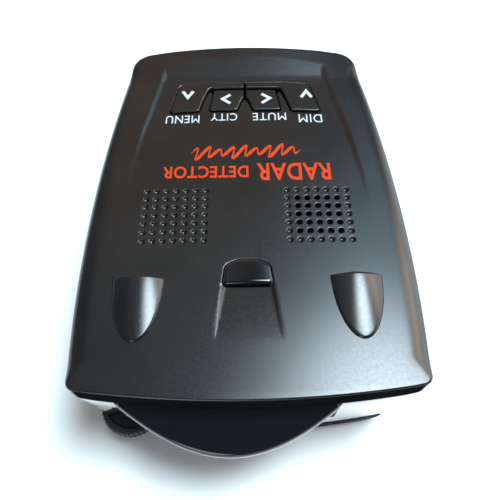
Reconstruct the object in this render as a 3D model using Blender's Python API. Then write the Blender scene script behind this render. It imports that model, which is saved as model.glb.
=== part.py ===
"""A dashboard radar detector, built as the separate pieces it comes apart into.

Metres, +Z up. The lens end, which faces the windscreen, is -Y. The driver's display end is +Y.
The rubber feet stand on Z = 0.
"""

import math

import bmesh
import bpy
from mathutils import Matrix, Vector

# Case: heights, plan outline and walls
BOTTOM_Z = 0.0012
RIM_Z = 0.0240
DECK_Z = 0.0300
HALF_WIDTH = 0.0373
WIDEST_Y = -0.0140
FRONT_Y = -0.0460
FRONT_SWEEP = 0.0031
REAR_Y = 0.0551
REAR_SWEEP = 0.0012
CORNER_FRONT = (0.0357, -0.0430)
CORNER_REAR = (0.0313, 0.0539)
CORNER_FRONT_R = 0.0026
CORNER_REAR_R = 0.0065
REAR_TAPER = 0.00375
REAR_SPAN = 0.0538
FRONT_PINCH = 0.0011
FRONT_SPAN = 0.0260
SIDE_DRAFT = 0.13
REAR_DRAFT = 0.055
WALL = 0.0020
DECK_T = 0.0020
FLOOR_T = 0.0022
DECK_EDGE_R = 0.0025
FLOOR_EDGE_R = 0.0020
GAP = 0.0003
CUT = 0.0010

# Deck details
BROW_Y = 0.0470
BROW_RISE = 0.0008
BROW_INSET = 0.0032
BLISTER_X = 0.0234
BLISTER_Y = -0.0204
BLISTER_SIZE = (0.00575, 0.0136, 0.0027)
BLISTER_TOP = 0.0320
CHANNEL_FRONT_Y = -0.0342
CHANNEL_HALF = (0.0055, 0.0076)
CHANNEL_DEPTH = 0.0012
GRILLE_PITCH = 0.00235
GRILLE_FIRST_X = 0.0097
GRILLE_FIRST_Y = 0.0039
GRILLE_HOLE_R = 0.00078
SPEAKER_ROWS = 5

# Top sensor window
TOP_LENS_FAR_Y = -0.0149
TOP_LENS_CORNER = (0.0046, -0.0167)
TOP_LENS_NEAR = (0.0055, -0.0221)
TOP_LENS_TOP = 0.0306

# Bulging laser lens
LENS_X = -0.0037
LENS_NOSE_Y = -0.0551
LENS_BACK_Y = -0.0436
LENS_HALF = 0.0208
LENS_NOSE_R = 0.0270
LENS_FLANK = 1.137
LENS_Z = (0.0120, 0.0233)
LENS_WALL = 0.0017

# Front panel and rear window
PANEL_T = 0.0018
PANEL_Z = (0.0048, 0.0236)
WINDOW_HALF = 0.0240
WINDOW_T = 0.0016
WINDOW_Z = (0.0055, 0.0205)

# Buttons, switches
BUTTON_TOP = 0.0307
BUTTON_BOTTOM = 0.0272
BUTTON_TRAVEL = 0.0005
STEM_R = 0.0018
STEM_BOTTOM = 0.0243
OUTER_SWITCH = (0.0155, 0.0345)
INNER_SWITCH = (0.0052, 0.0347)
SWITCH_SIDE = 0.0060
SWITCH_TOP = 0.0214
PLUNGER_R = 0.0015
PLUNGER_Z = (0.0209, 0.0240)

# Board and what stands on it
BOARD_Z = 0.0160
BOARD_T = 0.0016
BOARD_Y = (-0.0330, 0.0430)
BOARD_INSET = 0.0056
BOARD_TOP = BOARD_Z + BOARD_T
SCREWS = ((0.0250, -0.0270), (-0.0250, -0.0270), (0.0235, 0.0270), (-0.0235, 0.0270))
POST_R = 0.0028
SCREW_R = 0.0010
SCREW_HEAD_R = 0.0019
SCREW_Z = (0.0040, 0.0240)

# Volume wheel
WHEEL_AXIS = (-0.0273, -0.0406)
WHEEL_R = 0.0069
WHEEL_Z = (0.0045, 0.0080)
WHEEL_TEETH = 40
WHEEL_KNURL = 0.00025
WHEEL_SHAFT_R = 0.0008

# Speaker
SPEAKER = (0.01675, -0.0032)
SPEAKER_R = 0.0110

# Power socket and feet
JACK_Y = -0.0120
JACK_Z = 0.0102
FOOT_R = 0.0040
FOOT_T = 0.0009
FEET = ((0.0235, -0.0360), (-0.0185, -0.0360), (0.0225, 0.0410), (-0.0225, 0.0410))
PLATE_HALF = (0.0150, 0.0100)
PLATE_Y = 0.0020
PAD_HALF = (0.0160, 0.0080)
PAD_Y = 0.0290
PAD_Z = (0.0002, 0.0009)


def clear_scene():
    """Starts from an empty scene."""
    for obj in list(bpy.data.objects):
        bpy.data.objects.remove(obj)


def make_collection(name):
    """A collection linked to the scene."""
    made = bpy.data.collections.new(name)
    bpy.context.scene.collection.children.link(made)
    return made


clear_scene()
PARTS = make_collection("radar_detector")
CUTTERS = make_collection("cutters")


def material(name, color, roughness, metallic=0.0):
    """A Principled material of one colour."""
    mat = bpy.data.materials.new(name)
    mat.use_nodes = True
    shader = mat.node_tree.nodes["Principled BSDF"]
    shader.inputs["Base Color"].default_value = (*color, 1.0)
    shader.inputs["Roughness"].default_value = roughness
    shader.inputs["Metallic"].default_value = metallic
    return mat


CASE_BLACK = ((0.030, 0.031, 0.033), 0.45)
GLOSS_BLACK = ((0.008, 0.008, 0.009), 0.06)
BOARD_GREEN = ((0.020, 0.120, 0.050), 0.45)
CHIP_BLACK = ((0.020, 0.020, 0.022), 0.55)
DIE_CAST = ((0.560, 0.570, 0.580), 0.38, 1.0)
TIN = ((0.700, 0.700, 0.680), 0.30, 1.0)
STEEL = ((0.480, 0.480, 0.500), 0.32, 1.0)
RUBBER = ((0.025, 0.025, 0.025), 0.85)
CLEAR = ((0.650, 0.700, 0.720), 0.05)
PAPER = ((0.035, 0.034, 0.032), 0.90)
FABRIC = ((0.080, 0.080, 0.085), 0.95)
CERAMIC = ((0.620, 0.560, 0.450), 0.60)
FLEX = ((0.550, 0.300, 0.080), 0.40)
LABEL = ((0.720, 0.720, 0.700), 0.50)


def solid(name, bm, look, origin=(0.0, 0.0, 0.0)):
    """One finished piece: its mesh, its material and its origin."""
    obj = tool(name, bm, PARTS)
    obj.data.transform(Matrix.Translation(-Vector(origin)))
    obj.location = origin
    obj.data.materials.append(material(name, *look))
    return obj


def tool(name, bm, home=CUTTERS):
    """A mesh object made from bm. On its own it is a cutter, shown as wire and never rendered."""
    bmesh.ops.remove_doubles(bm, verts=bm.verts, dist=1e-6)
    bmesh.ops.recalc_face_normals(bm, faces=bm.faces)
    mesh = bpy.data.meshes.new(name)
    bm.to_mesh(mesh)
    bm.free()
    obj = bpy.data.objects.new(name, mesh)
    home.objects.link(obj)
    if home is CUTTERS:
        obj.hide_render = True
        obj.display_type = "WIRE"
    return obj


def boolean(obj, other, operation):
    """Adds an exact boolean of obj with other."""
    mod = obj.modifiers.new(operation.lower(), "BOOLEAN")
    mod.operation = operation
    mod.solver = "EXACT"
    mod.object = other


def cut(obj, other):
    boolean(obj, other, "DIFFERENCE")


def fuse(obj, other):
    boolean(obj, other, "UNION")


def smooth(obj):
    """Round pieces are shaded smooth."""
    for face in obj.data.polygons:
        face.use_smooth = True


# Outlines


def rounded(points, radii, steps=4):
    """A closed outline with an arc of the given radius at each corner."""
    made = []
    count = len(points)
    for i, (corner, radius) in enumerate(zip(points, radii)):
        here = Vector(corner)
        if radius <= 0:
            made.append(tuple(here))
            continue
        back = (Vector(points[i - 1]) - here).normalized()
        ahead = (Vector(points[(i + 1) % count]) - here).normalized()
        half = back.angle(ahead) / 2
        start = here + back * (radius / math.tan(half))
        centre = here + (back + ahead).normalized() * (radius / math.sin(half))
        sweep = (start - centre).angle_signed(here + ahead * (radius / math.tan(half)) - centre)
        for k in range(steps + 1):
            made.append(tuple(centre + turned_by(start - centre, -sweep * k / steps)))
    return made


def turned_by(arm, angle):
    """A 2D arm turned anticlockwise."""
    return Vector((arm.x * math.cos(angle) - arm.y * math.sin(angle),
                   arm.x * math.sin(angle) + arm.y * math.cos(angle)))


def offset(points, distance):
    """An anticlockwise outline moved outwards by distance, or inwards if distance is negative."""
    made = []
    count = len(points)
    for i, corner in enumerate(points):
        here = Vector(corner)
        back = (here - Vector(points[i - 1])).normalized()
        ahead = (Vector(points[(i + 1) % count]) - here).normalized()
        normal = (Vector((back.y, -back.x)) + Vector((ahead.y, -ahead.x))).normalized()
        stretch = max(0.35, normal.dot(Vector((ahead.y, -ahead.x))))
        made.append(tuple(here + normal * (distance / stretch)))
    return made


def mirrored(points):
    """The outline reflected in X = 0, still anticlockwise."""
    return [(-x, y) for x, y in reversed(points)]


def half_width(y):
    """Half the case's width at y, at the rim where its two shells meet."""
    taper = REAR_TAPER * (max(y - WIDEST_Y, 0.0) / REAR_SPAN) ** 2
    pinch = FRONT_PINCH * (max(WIDEST_Y - y, 0.0) / FRONT_SPAN) ** 2
    return HALF_WIDTH - taper - pinch


def front_arc(x):
    """The swept front edge."""
    return FRONT_Y + FRONT_SWEEP * (x / HALF_WIDTH) ** 2


def rear_arc(x):
    """The gently bowed rear edge."""
    return REAR_Y - REAR_SWEEP * (x / HALF_WIDTH) ** 2


def spread(low, high, count):
    """Evenly spaced values from low to high, both ends included."""
    return [low + (high - low) * i / (count - 1) for i in range(count)]


def case_outline():
    """The plan outline of the case, anticlockwise from the middle of the front."""
    front = [(x, front_arc(x)) for x in spread(0.0, 0.030, 5)]
    side = [(half_width(y), y) for y in spread(-0.036, 0.040, 8)]
    rear = [(x, rear_arc(x)) for x in spread(0.022, 0.0, 4)]
    points = front + [CORNER_FRONT] + side + [CORNER_REAR] + rear
    radii = [0.0] * len(front) + [CORNER_FRONT_R] + [0.0] * len(side) + [CORNER_REAR_R] + [0.0] * len(rear)
    right = rounded(points, radii)
    left = [(-x, y) for x, y in reversed(right) if x > CUT / 10]
    return right + left


def rectangle(x0, x1, y0, y1, radius=0.0):
    """A rectangle, with rounded corners if radius is more than nothing."""
    corners = [(x0, y0), (x1, y0), (x1, y1), (x0, y1)]
    return rounded(corners, [radius] * 4)


# Solids


def prism(outline, low, high):
    """A flat outline raised into a solid between two heights."""
    bm = bmesh.new()
    verts = [bm.verts.new((x, y, low)) for x, y in outline]
    edges = [bm.edges.new(pair) for pair in zip(verts, verts[1:] + verts[:1])]
    base = bmesh.ops.contextual_create(bm, geom=edges)["faces"]
    raised = bmesh.ops.extrude_face_region(bm, geom=base, use_keep_orig=True)["geom"]
    lifted = [v for v in raised if isinstance(v, bmesh.types.BMVert)]
    bmesh.ops.translate(bm, verts=lifted, vec=(0.0, 0.0, high - low))
    return bm


def box(x0, x1, y0, y1, z0, z1):
    """A box between two corners."""
    bm = bmesh.new()
    size = Matrix.Diagonal((x1 - x0, y1 - y0, z1 - z0, 1.0))
    centre = Matrix.Translation(((x0 + x1) / 2, (y0 + y1) / 2, (z0 + z1) / 2))
    bmesh.ops.create_cube(bm, size=1.0, matrix=centre @ size)
    return bm


def rod(radius, start, end, segments=24, end_radius=None):
    """A round bar or cone from start to end."""
    bm = bmesh.new()
    start = Vector(start)
    along = Vector(end) - start
    turn = along.to_track_quat("Z", "Y").to_matrix().to_4x4()
    place = Matrix.Translation(start + along / 2) @ turn
    far = radius if end_radius is None else end_radius
    bmesh.ops.create_cone(bm, cap_ends=True, segments=segments, radius1=radius, radius2=far,
                          depth=along.length, matrix=place)
    return bm


def lathe(profile, centre, steps=28):
    """A profile of (radius, height) pairs, from axis to axis, turned about a vertical axis."""
    bm = bmesh.new()
    verts = [bm.verts.new((radius, 0.0, height)) for radius, height in profile]
    edges = [bm.edges.new(pair) for pair in zip(verts, verts[1:])]
    bmesh.ops.spin(bm, geom=verts + edges, axis=(0, 0, 1), cent=(0, 0, 0), steps=steps,
                   angle=2 * math.pi, use_merge=True)
    bmesh.ops.translate(bm, verts=bm.verts, vec=(centre[0], centre[1], 0.0))
    return bm


def edges_at(bm, height):
    """The edges that lie flat at one height."""
    return [e for e in bm.edges if all(abs(v.co.z - height) < CUT / 100 for v in e.verts)]


def bevelled(bm, height, width, segments=3):
    """bm with the edges at one height rounded."""
    bmesh.ops.bevel(bm, geom=edges_at(bm, height), offset=width, segments=segments, profile=0.5,
                    affect="EDGES", clamp_overlap=True)
    return bm


def drafted(bm):
    """bm with the lower case's draft: its sides and rear lean in towards the bottom."""
    for vert in bm.verts:
        drop = (RIM_Z - vert.co.z) / (RIM_Z - BOTTOM_Z)
        vert.co.x *= 1.0 - SIDE_DRAFT * drop
        if vert.co.y > 0:
            vert.co.y *= 1.0 - REAR_DRAFT * drop
    return bm


# Case pieces


def blister(side):
    """One streamlined blister on the deck, cut square at its rear."""
    bm = bmesh.new()
    size = Matrix.Diagonal((*BLISTER_SIZE, 1.0))
    place = Matrix.Translation((side * BLISTER_X, BLISTER_Y, BLISTER_TOP - BLISTER_SIZE[2]))
    bmesh.ops.create_uvsphere(bm, u_segments=24, v_segments=12, radius=1.0, matrix=place @ size)
    made = tool("blister", bm)
    reach = 2 * BLISTER_SIZE[1]
    cut(made, tool("blister_rear", box(side * BLISTER_X - reach, side * BLISTER_X + reach,
                                       BLISTER_Y, BLISTER_Y + reach, 0.0, 2 * BLISTER_TOP)))
    return made


def brow():
    """The raised brow over the display."""
    inner = offset(case_outline(), -BROW_INSET)
    outline = [(x, max(y, BROW_Y - 0.004 * (x / HALF_WIDTH) ** 2)) for x, y in inner if y > BROW_Y - 0.012]
    return tool("brow", bevelled(prism(outline, DECK_Z - DECK_T / 2, DECK_Z + BROW_RISE),
                                 DECK_Z + BROW_RISE, BROW_RISE / 2, 2))


def top_lens_outline():
    """The sensor window: straight towards the front, rounded towards the rear."""
    near_x, near_y = TOP_LENS_NEAR
    far_x, far_y = TOP_LENS_CORNER
    points = [(-near_x, near_y), (near_x, near_y), (far_x, far_y), (0.0018, TOP_LENS_FAR_Y),
              (-0.0018, TOP_LENS_FAR_Y), (-far_x, far_y)]
    return rounded(points, [0.0009, 0.0009, 0.0022, 0.0040, 0.0040, 0.0022], 3)


def channel():
    """The shallow ramp in front of the sensor window, deepest at the window."""
    near, far = CHANNEL_HALF
    rear_y = TOP_LENS_NEAR[1]
    outline = [(-far, CHANNEL_FRONT_Y), (far, CHANNEL_FRONT_Y), (near, rear_y), (-near, rear_y)]
    bm = prism(outline, DECK_Z, DECK_Z + CUT)
    for vert in bm.verts:
        if vert.co.y > rear_y - CUT / 10 and vert.co.z < DECK_Z + CUT / 2:
            vert.co.z -= CHANNEL_DEPTH
    return tool("channel", bm)


def outer_button_outline():
    """The driver's left button, whose thin arm runs behind its neighbour."""
    points = [(-0.0205, 0.0302), (-0.0122, 0.0307), (-0.0112, 0.0349), (-0.0097, 0.0394),
              (-0.0001, 0.0395), (-0.0001, 0.0421), (-0.0110, 0.0421), (-0.0180, 0.0414)]
    return rounded(points, [0.0011, 0.0009, 0.0, 0.0011, 0.0003, 0.0003, 0.0, 0.0016], 3)


def inner_button_outline():
    """The button next to the middle, with its inner near corner sloped off."""
    points = [(-0.0098, 0.0309), (-0.0020, 0.0309), (-0.0011, 0.0340), (-0.0001, 0.0362),
              (-0.0001, 0.0391), (-0.0086, 0.0390), (-0.0092, 0.0350)]
    return rounded(points, [0.0008, 0.0012, 0.0, 0.0008, 0.0003, 0.0009, 0.0], 3)


def button_layout():
    """Each button's name, outline and switch position."""
    outer = offset(outer_button_outline(), -GAP / 3)
    inner = offset(inner_button_outline(), -GAP / 3)
    return (("menu", outer, (-OUTER_SWITCH[0], OUTER_SWITCH[1])),
            ("city", inner, (-INNER_SWITCH[0], INNER_SWITCH[1])),
            ("mute", mirrored(inner), INNER_SWITCH),
            ("dim", mirrored(outer), OUTER_SWITCH))


def grille_holes():
    """Places of the speaker's through holes."""
    first = GRILLE_FIRST_X + GRILLE_PITCH
    rows = range(1, SPEAKER_ROWS + 1)
    return [(first + GRILLE_PITCH * i, GRILLE_FIRST_Y - GRILLE_PITCH * j)
            for i in range(SPEAKER_ROWS) for j in rows]


def build_upper_case():
    """The shallow top shell with its deck, blisters, openings and screw posts."""
    body = bevelled(prism(case_outline(), RIM_Z, DECK_Z), DECK_Z, DECK_EDGE_R)
    case = solid("upper_case", body, CASE_BLACK)
    inside = offset(case_outline(), -WALL)
    cut(case, tool("upper_cavity", prism(inside, RIM_Z - CUT, DECK_Z - DECK_T)))
    fuse(case, brow())
    fuse(case, blister(1))
    fuse(case, blister(-1))
    cut(case, channel())
    lens_hole = offset(top_lens_outline(), GAP)
    cut(case, tool("top_lens_hole", prism(lens_hole, DECK_Z - 2 * DECK_T, DECK_Z + CUT)))
    for name, outline, _ in button_layout():
        hole = offset(outline, GAP)
        cut(case, tool(name + "_hole", prism(hole, DECK_Z - 2 * DECK_T, DECK_Z + CUT)))
    for x, y in grille_holes():
        hole = rod(GRILLE_HOLE_R, (x, y, DECK_Z - 2 * DECK_T), (x, y, DECK_Z + CUT), 8)
        cut(case, tool("grille_hole", hole))
    for x, y in SCREWS:
        post = rod(POST_R, (x, y, BOARD_TOP + GAP), (x, y, DECK_Z - DECK_T / 2), 16)
        fuse(case, tool("upper_post", post))
        bore = rod(SCREW_R + GAP, (x, y, BOARD_Z), (x, y, SCREW_Z[1] + GAP), 12)
        cut(case, tool("upper_post_bore", bore))


def build_lower_case():
    """The deep bottom shell, open at the front for the glossy panel and at the rear for the window."""
    top = RIM_Z - GAP
    body = drafted(bevelled(prism(case_outline(), BOTTOM_Z, top), BOTTOM_Z, FLOOR_EDGE_R))
    case = solid("lower_case", body, CASE_BLACK)
    inside = offset(case_outline(), -WALL)
    cut(case, tool("lower_cavity", drafted(prism(inside, BOTTOM_Z + FLOOR_T, RIM_Z + CUT))))
    opening = front_band(-4 * CUT, PANEL_T + 3 * GAP, 2 * HALF_WIDTH)
    cut(case, tool("panel_opening", prism(opening, PANEL_Z[0] - GAP, RIM_Z + CUT)))
    opening = rear_band(-3 * CUT, WINDOW_T + 2 * CUT, WINDOW_HALF + GAP)
    cut(case, tool("window_opening", drafted(prism(opening, WINDOW_Z[0] - GAP, WINDOW_Z[1] + GAP))))
    cut(case, wheel_pocket())
    cut(case, jack_hole())
    for x, y in SCREWS:
        post = rod(POST_R, (x, y, BOTTOM_Z + FLOOR_T / 2), (x, y, BOARD_Z - GAP), 16)
        fuse(case, tool("lower_post", post))
        shank = rod(SCREW_R + GAP, (x, y, 0.0), (x, y, BOARD_TOP), 12)
        cut(case, tool("lower_post_bore", shank))
        seat = rod(SCREW_HEAD_R + GAP, (x, y, 0.0), (x, y, SCREW_Z[0] + 0.0022), 16)
        cut(case, tool("screw_head_seat", seat))


def front_band(outward, inward, half):
    """A strip along the swept front, between two depths behind the front edge."""
    xs = spread(-half, half, 15)
    outer = [(x, front_arc(x) + outward) for x in xs]
    inner = [(x, front_arc(x) + inward) for x in reversed(xs)]
    return outer + inner


def rear_band(outward, inward, half):
    """A strip along the bowed rear, between two depths inside the rear edge."""
    xs = spread(-half, half, 9)
    inner = [(x, rear_arc(x) - inward) for x in xs]
    outer = [(x, rear_arc(x) - outward) for x in reversed(xs)]
    return inner + outer


def lens_front(x):
    """The bulging lens's front edge: a round nose that runs out into straight flanks."""
    away = x - LENS_X
    return LENS_NOSE_Y + LENS_FLANK * (math.hypot(away, LENS_NOSE_R) - LENS_NOSE_R)


def lens_outline(grow=0.0):
    """The bulging lens's plan, grown outwards by grow."""
    half = LENS_HALF + grow
    xs = spread(LENS_X - half, LENS_X + half, 17)
    return [(x, lens_front(x) - grow) for x in xs] + [(xs[-1], LENS_BACK_Y), (xs[0], LENS_BACK_Y)]


def build_front_panel():
    """The glossy front panel, with openings for the laser lens and the volume wheel."""
    panel = solid("front_panel", drafted(prism(offset(case_outline(), -GAP / 3), *PANEL_Z)), GLOSS_BLACK)
    behind = front_band(PANEL_T, 3 * HALF_WIDTH, 2 * HALF_WIDTH)
    cut(panel, tool("behind_panel", prism(behind, 0.0, DECK_Z)))
    low, high = LENS_Z
    half = LENS_HALF + GAP
    cut(panel, tool("lens_opening", box(LENS_X - half, LENS_X + half, FRONT_Y - 0.010, -0.030,
                                        low - GAP, high + CUT)))
    cut(panel, wheel_pocket())


def build_laser_lens():
    """The bulging smoked lens, hollow behind."""
    low, high = LENS_Z
    body = bevelled(prism(lens_outline(), low, high), low, 0.0008, 2)
    lens = solid("laser_lens", bevelled(body, high, 0.0005, 2), GLOSS_BLACK)
    core = [(x, y + LENS_WALL) for x, y in lens_outline(-LENS_WALL)]
    cut(lens, tool("laser_lens_cavity", prism(core, low + LENS_WALL, high - LENS_WALL)))


def build_top_lens():
    """The small glossy sensor window on the deck."""
    body = bevelled(prism(top_lens_outline(), DECK_Z - DECK_T + GAP, TOP_LENS_TOP), TOP_LENS_TOP, 0.0003, 2)
    solid("top_sensor_lens", body, GLOSS_BLACK)


def build_window():
    """The tinted display window across the rear."""
    band = rear_band(GAP, WINDOW_T, WINDOW_HALF)
    solid("display_window", drafted(prism(band, *WINDOW_Z)), GLOSS_BLACK)


# Buttons and switches


def build_buttons():
    """Four push buttons, each over its own switch and plunger."""
    for name, outline, (x, y) in button_layout():
        cap = bevelled(prism(outline, BUTTON_BOTTOM, BUTTON_TOP), BUTTON_TOP, 0.0003, 2)
        button = solid("button_" + name, cap, CASE_BLACK, (x, y, BUTTON_TOP))
        stem = rod(STEM_R, (x, y, STEM_BOTTOM), (x, y, BUTTON_BOTTOM + CUT), 16)
        fuse(button, tool(name + "_stem", stem))
        build_switch(name, x, y)


def build_switch(name, x, y):
    """A square tact switch and the plunger in it."""
    half = SWITCH_SIDE / 2
    body = bevelled(box(x - half, x + half, y - half, y + half, BOARD_TOP + GAP, SWITCH_TOP),
                    SWITCH_TOP, 0.0004, 1)
    switch = solid("switch_" + name, body, CHIP_BLACK)
    well = rod(PLUNGER_R + GAP, (x, y, PLUNGER_Z[0] - BUTTON_TRAVEL - GAP), (x, y, SWITCH_TOP + CUT), 16)
    cut(switch, tool(name + "_well", well))
    plunger = rod(PLUNGER_R, (x, y, PLUNGER_Z[0]), (x, y, PLUNGER_Z[1]), 16)
    smooth(solid("plunger_" + name, plunger, PAPER, (x, y, PLUNGER_Z[1])))


# Volume wheel


def knurled(radius, teeth, depth):
    """A circle with fine teeth round it."""
    steps = 2 * teeth
    return [((radius - depth * (i % 2)) * math.cos(2 * math.pi * i / steps),
             (radius - depth * (i % 2)) * math.sin(2 * math.pi * i / steps)) for i in range(steps)]


def wheel_pocket():
    """The round slot in the case corner that the volume wheel turns in."""
    x, y = WHEEL_AXIS
    room = WHEEL_R + 2 * GAP
    return tool("wheel_pocket", rod(room, (x, y, WHEEL_Z[0] - GAP), (x, y, WHEEL_Z[1] + GAP), 32))


def build_volume_wheel():
    """The knurled thumbwheel with its stub shaft, and the control it turns in."""
    x, y = WHEEL_AXIS
    rim = [(x + dx, y + dy) for dx, dy in knurled(WHEEL_R, WHEEL_TEETH, WHEEL_KNURL)]
    wheel = solid("volume_wheel", prism(rim, *WHEEL_Z), RUBBER, (x, y, WHEEL_Z[0]))
    top = WHEEL_Z[1] + 0.0034
    fuse(wheel, tool("wheel_shaft", rod(WHEEL_SHAFT_R, (x, y, WHEEL_Z[1] - CUT), (x, y, top), 16)))
    low = WHEEL_Z[1] + GAP
    body = box(x - 0.0015, x + 0.0075, y + 0.0006, y + 0.0085, low, top + GAP)
    control = solid("volume_control", body, TIN)
    fuse(control, tool("control_lug", rod(0.0015, (x, y, low), (x, y, top + GAP), 16)))
    cut(control, tool("control_bore", rod(WHEEL_SHAFT_R + 0.00005, (x, y, low - CUT), (x, y, top + CUT), 16)))


# Electronics


def build_board():
    """The main circuit board on its posts."""
    ys = spread(*BOARD_Y, 7)
    right = [(half_width(y) - BOARD_INSET, y) for y in ys]
    left = [(-x, y) for x, y in reversed(right)]
    board = solid("main_board", prism(right + left, BOARD_Z, BOARD_TOP), BOARD_GREEN)
    for x, y in SCREWS:
        hole = rod(SCREW_R + GAP, (x, y, BOARD_Z - CUT), (x, y, BOARD_TOP + CUT), 12)
        cut(board, tool("board_hole", hole))


def frustum(mouth, throat, mouth_y, throat_y, z):
    """A four-sided horn from mouth size to throat size, along Y."""
    bm = bmesh.new()
    half_diagonal = math.sqrt(0.5)
    depth = throat_y - mouth_y
    turn = Matrix.Rotation(-math.pi / 2, 4, "X") @ Matrix.Rotation(math.pi / 4, 4, "Z")
    bmesh.ops.create_cone(bm, cap_ends=True, segments=4, radius1=half_diagonal,
                          radius2=half_diagonal, depth=depth, matrix=turn)
    for vert in bm.verts:
        width, height = mouth if vert.co.y < 0 else throat
        vert.co.x *= width
        vert.co.z = z + vert.co.z * height
        vert.co.y += (mouth_y + throat_y) / 2
    return bm


def build_horn():
    """The cast horn antenna and the shielded receiver behind its throat."""
    z = 0.0097
    horn = solid("horn_antenna", frustum((0.034, 0.0108), (0.018, 0.0090), -0.0400, -0.0160, z), DIE_CAST)
    cut(horn, tool("horn_flare", frustum((0.0316, 0.0084), (0.0100, 0.0045), -0.0402, -0.0175, z)))
    cut(horn, tool("horn_throat", box(-0.0048, 0.0048, -0.0190, -0.0150, z - 0.0022, z + 0.0022)))
    can = box(-0.0120, 0.0120, -0.0157, 0.0120, 0.0046, 0.0152)
    solid("receiver_shield", bevelled(can, 0.0046, 0.0006, 1), TIN)


def build_laser_sensor():
    """The laser eye: a holder at the board's front edge, its diode and its small lens."""
    x = LENS_X
    z = 0.0193
    holder = solid("laser_holder", box(x - 0.0070, x + 0.0070, -0.0412, -0.0336, 0.0156, 0.0229), CHIP_BLACK)
    cut(holder, tool("laser_bore", rod(0.0031, (x, -0.0420, z), (x, -0.0350, z), 24)))
    smooth(solid("laser_diode", rod(0.0026, (x, -0.0375, z), (x, -0.0355, z), 20), CHIP_BLACK))
    dome = rod(0.0027, (x, -0.0410, z), (x, -0.0380, z), 20, 0.0024)
    smooth(solid("laser_focus_lens", dome, CLEAR))


def build_top_sensor():
    """The light sensor on the board and the clear pipe up to its window."""
    x, y = 0.0, -0.0185
    solid("light_sensor", box(x - 0.002, x + 0.002, y - 0.002, y + 0.002, BOARD_TOP + GAP, 0.0196), CHIP_BLACK)
    pipe = rod(0.0022, (x, y, 0.0199), (x, y, DECK_Z - DECK_T), 20, 0.0018)
    smooth(solid("light_pipe", pipe, CLEAR))


def build_speaker():
    """The small speaker under the right-hand grille: gasket, basket, cone, magnet and leads."""
    x, y = SPEAKER
    ring = [(0.0085, 0.0272), (SPEAKER_R, 0.0272), (SPEAKER_R, 0.0277), (0.0085, 0.0277), (0.0085, 0.0272)]
    smooth(solid("speaker_gasket", lathe(ring, (x, y)), FABRIC))
    basket = [(0.0, 0.0222), (0.0066, 0.0222), (0.0104, 0.0256), (SPEAKER_R, 0.0256), (SPEAKER_R, 0.0269),
              (0.0098, 0.0269), (0.0098, 0.0262), (0.0062, 0.0230), (0.0, 0.0230)]
    solid("speaker_basket", lathe(basket, (x, y)), STEEL)
    cone = [(0.0, 0.0238), (0.0045, 0.0238), (0.0092, 0.0264), (0.0092, 0.0269), (0.0078, 0.0267),
            (0.0040, 0.0246), (0.0, 0.0252)]
    smooth(solid("speaker_cone", lathe(cone, (x, y)), PAPER))
    magnet = [(0.0, 0.0187), (0.0060, 0.0187), (0.0060, 0.0219), (0.0, 0.0219)]
    solid("speaker_magnet", lathe(magnet, (x, y)), TIN)
    for index, color in enumerate(("red", "black")):
        wire_y = y + 0.0135 + 0.0018 * index
        path = [(x - 0.004, wire_y, 0.0240), (x - 0.008, wire_y, 0.0236), (x - 0.011, wire_y, 0.0215),
                (x - 0.0115, wire_y, BOARD_TOP + GAP)]
        wire(f"speaker_lead_{color}", path)


def wire(name, path):
    """A thin insulated lead along a path of points."""
    curve = bpy.data.curves.new(name, "CURVE")
    curve.dimensions = "3D"
    curve.bevel_depth = 0.0005
    curve.bevel_resolution = 2
    curve.use_fill_caps = True
    spline = curve.splines.new("POLY")
    spline.points.add(len(path) - 1)
    for point, place in zip(spline.points, path):
        point.co = (*place, 1.0)
    holder = bpy.data.objects.new(name + "_path", curve)
    CUTTERS.objects.link(holder)
    bm = bmesh.new()
    bm.from_mesh(bpy.data.meshes.new_from_object(holder))
    bpy.data.objects.remove(holder)
    smooth(solid(name, bm, RUBBER))


def build_display():
    """The display behind the rear window and its flexible cable to the board."""
    module = box(-0.0225, 0.0225, 0.0458, 0.0486, 0.0062, 0.0196)
    solid("display_module", module, CHIP_BLACK)
    path = [(0.0400, 0.0144), (0.0440, 0.0144), (0.0440, 0.0141), (0.0403, 0.0141)]
    cable = prism([(y, z) for y, z in path], -0.0060, 0.0060)
    bmesh.ops.transform(cable, matrix=Matrix(((0, 0, 1, 0), (1, 0, 0, 0), (0, 1, 0, 0), (0, 0, 0, 1))),
                        verts=cable.verts)
    solid("display_cable", cable, FLEX)


def build_chips():
    """Satellite antenna and receiver, processor and power parts on the board."""
    low = BOARD_TOP + GAP
    solid("satellite_antenna", bevelled(box(-0.0255, -0.0075, -0.0130, 0.0050, low, low + 0.0040),
                                        low + 0.0040, 0.0005, 1), CERAMIC)
    solid("satellite_receiver", box(-0.0230, -0.0070, 0.0075, 0.0195, low, low + 0.0024), TIN)
    solid("processor", box(0.0050, 0.0170, 0.0150, 0.0270, low, low + 0.0014), CHIP_BLACK)
    coil = rod(0.0030, (0.0010, 0.0050, low), (0.0010, 0.0050, low + 0.0040), 20)
    smooth(solid("power_coil", coil, CHIP_BLACK))
    can = rod(0.0025, (0.0010, 0.0125, low), (0.0010, 0.0125, low + 0.0055), 20)
    smooth(solid("smoothing_capacitor", can, TIN))


def jack_hole():
    """The round hole in the left side for the power socket."""
    return tool("jack_hole", rod(0.0035, (-0.0450, JACK_Y, JACK_Z), (-0.0250, JACK_Y, JACK_Z), 24))


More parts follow.
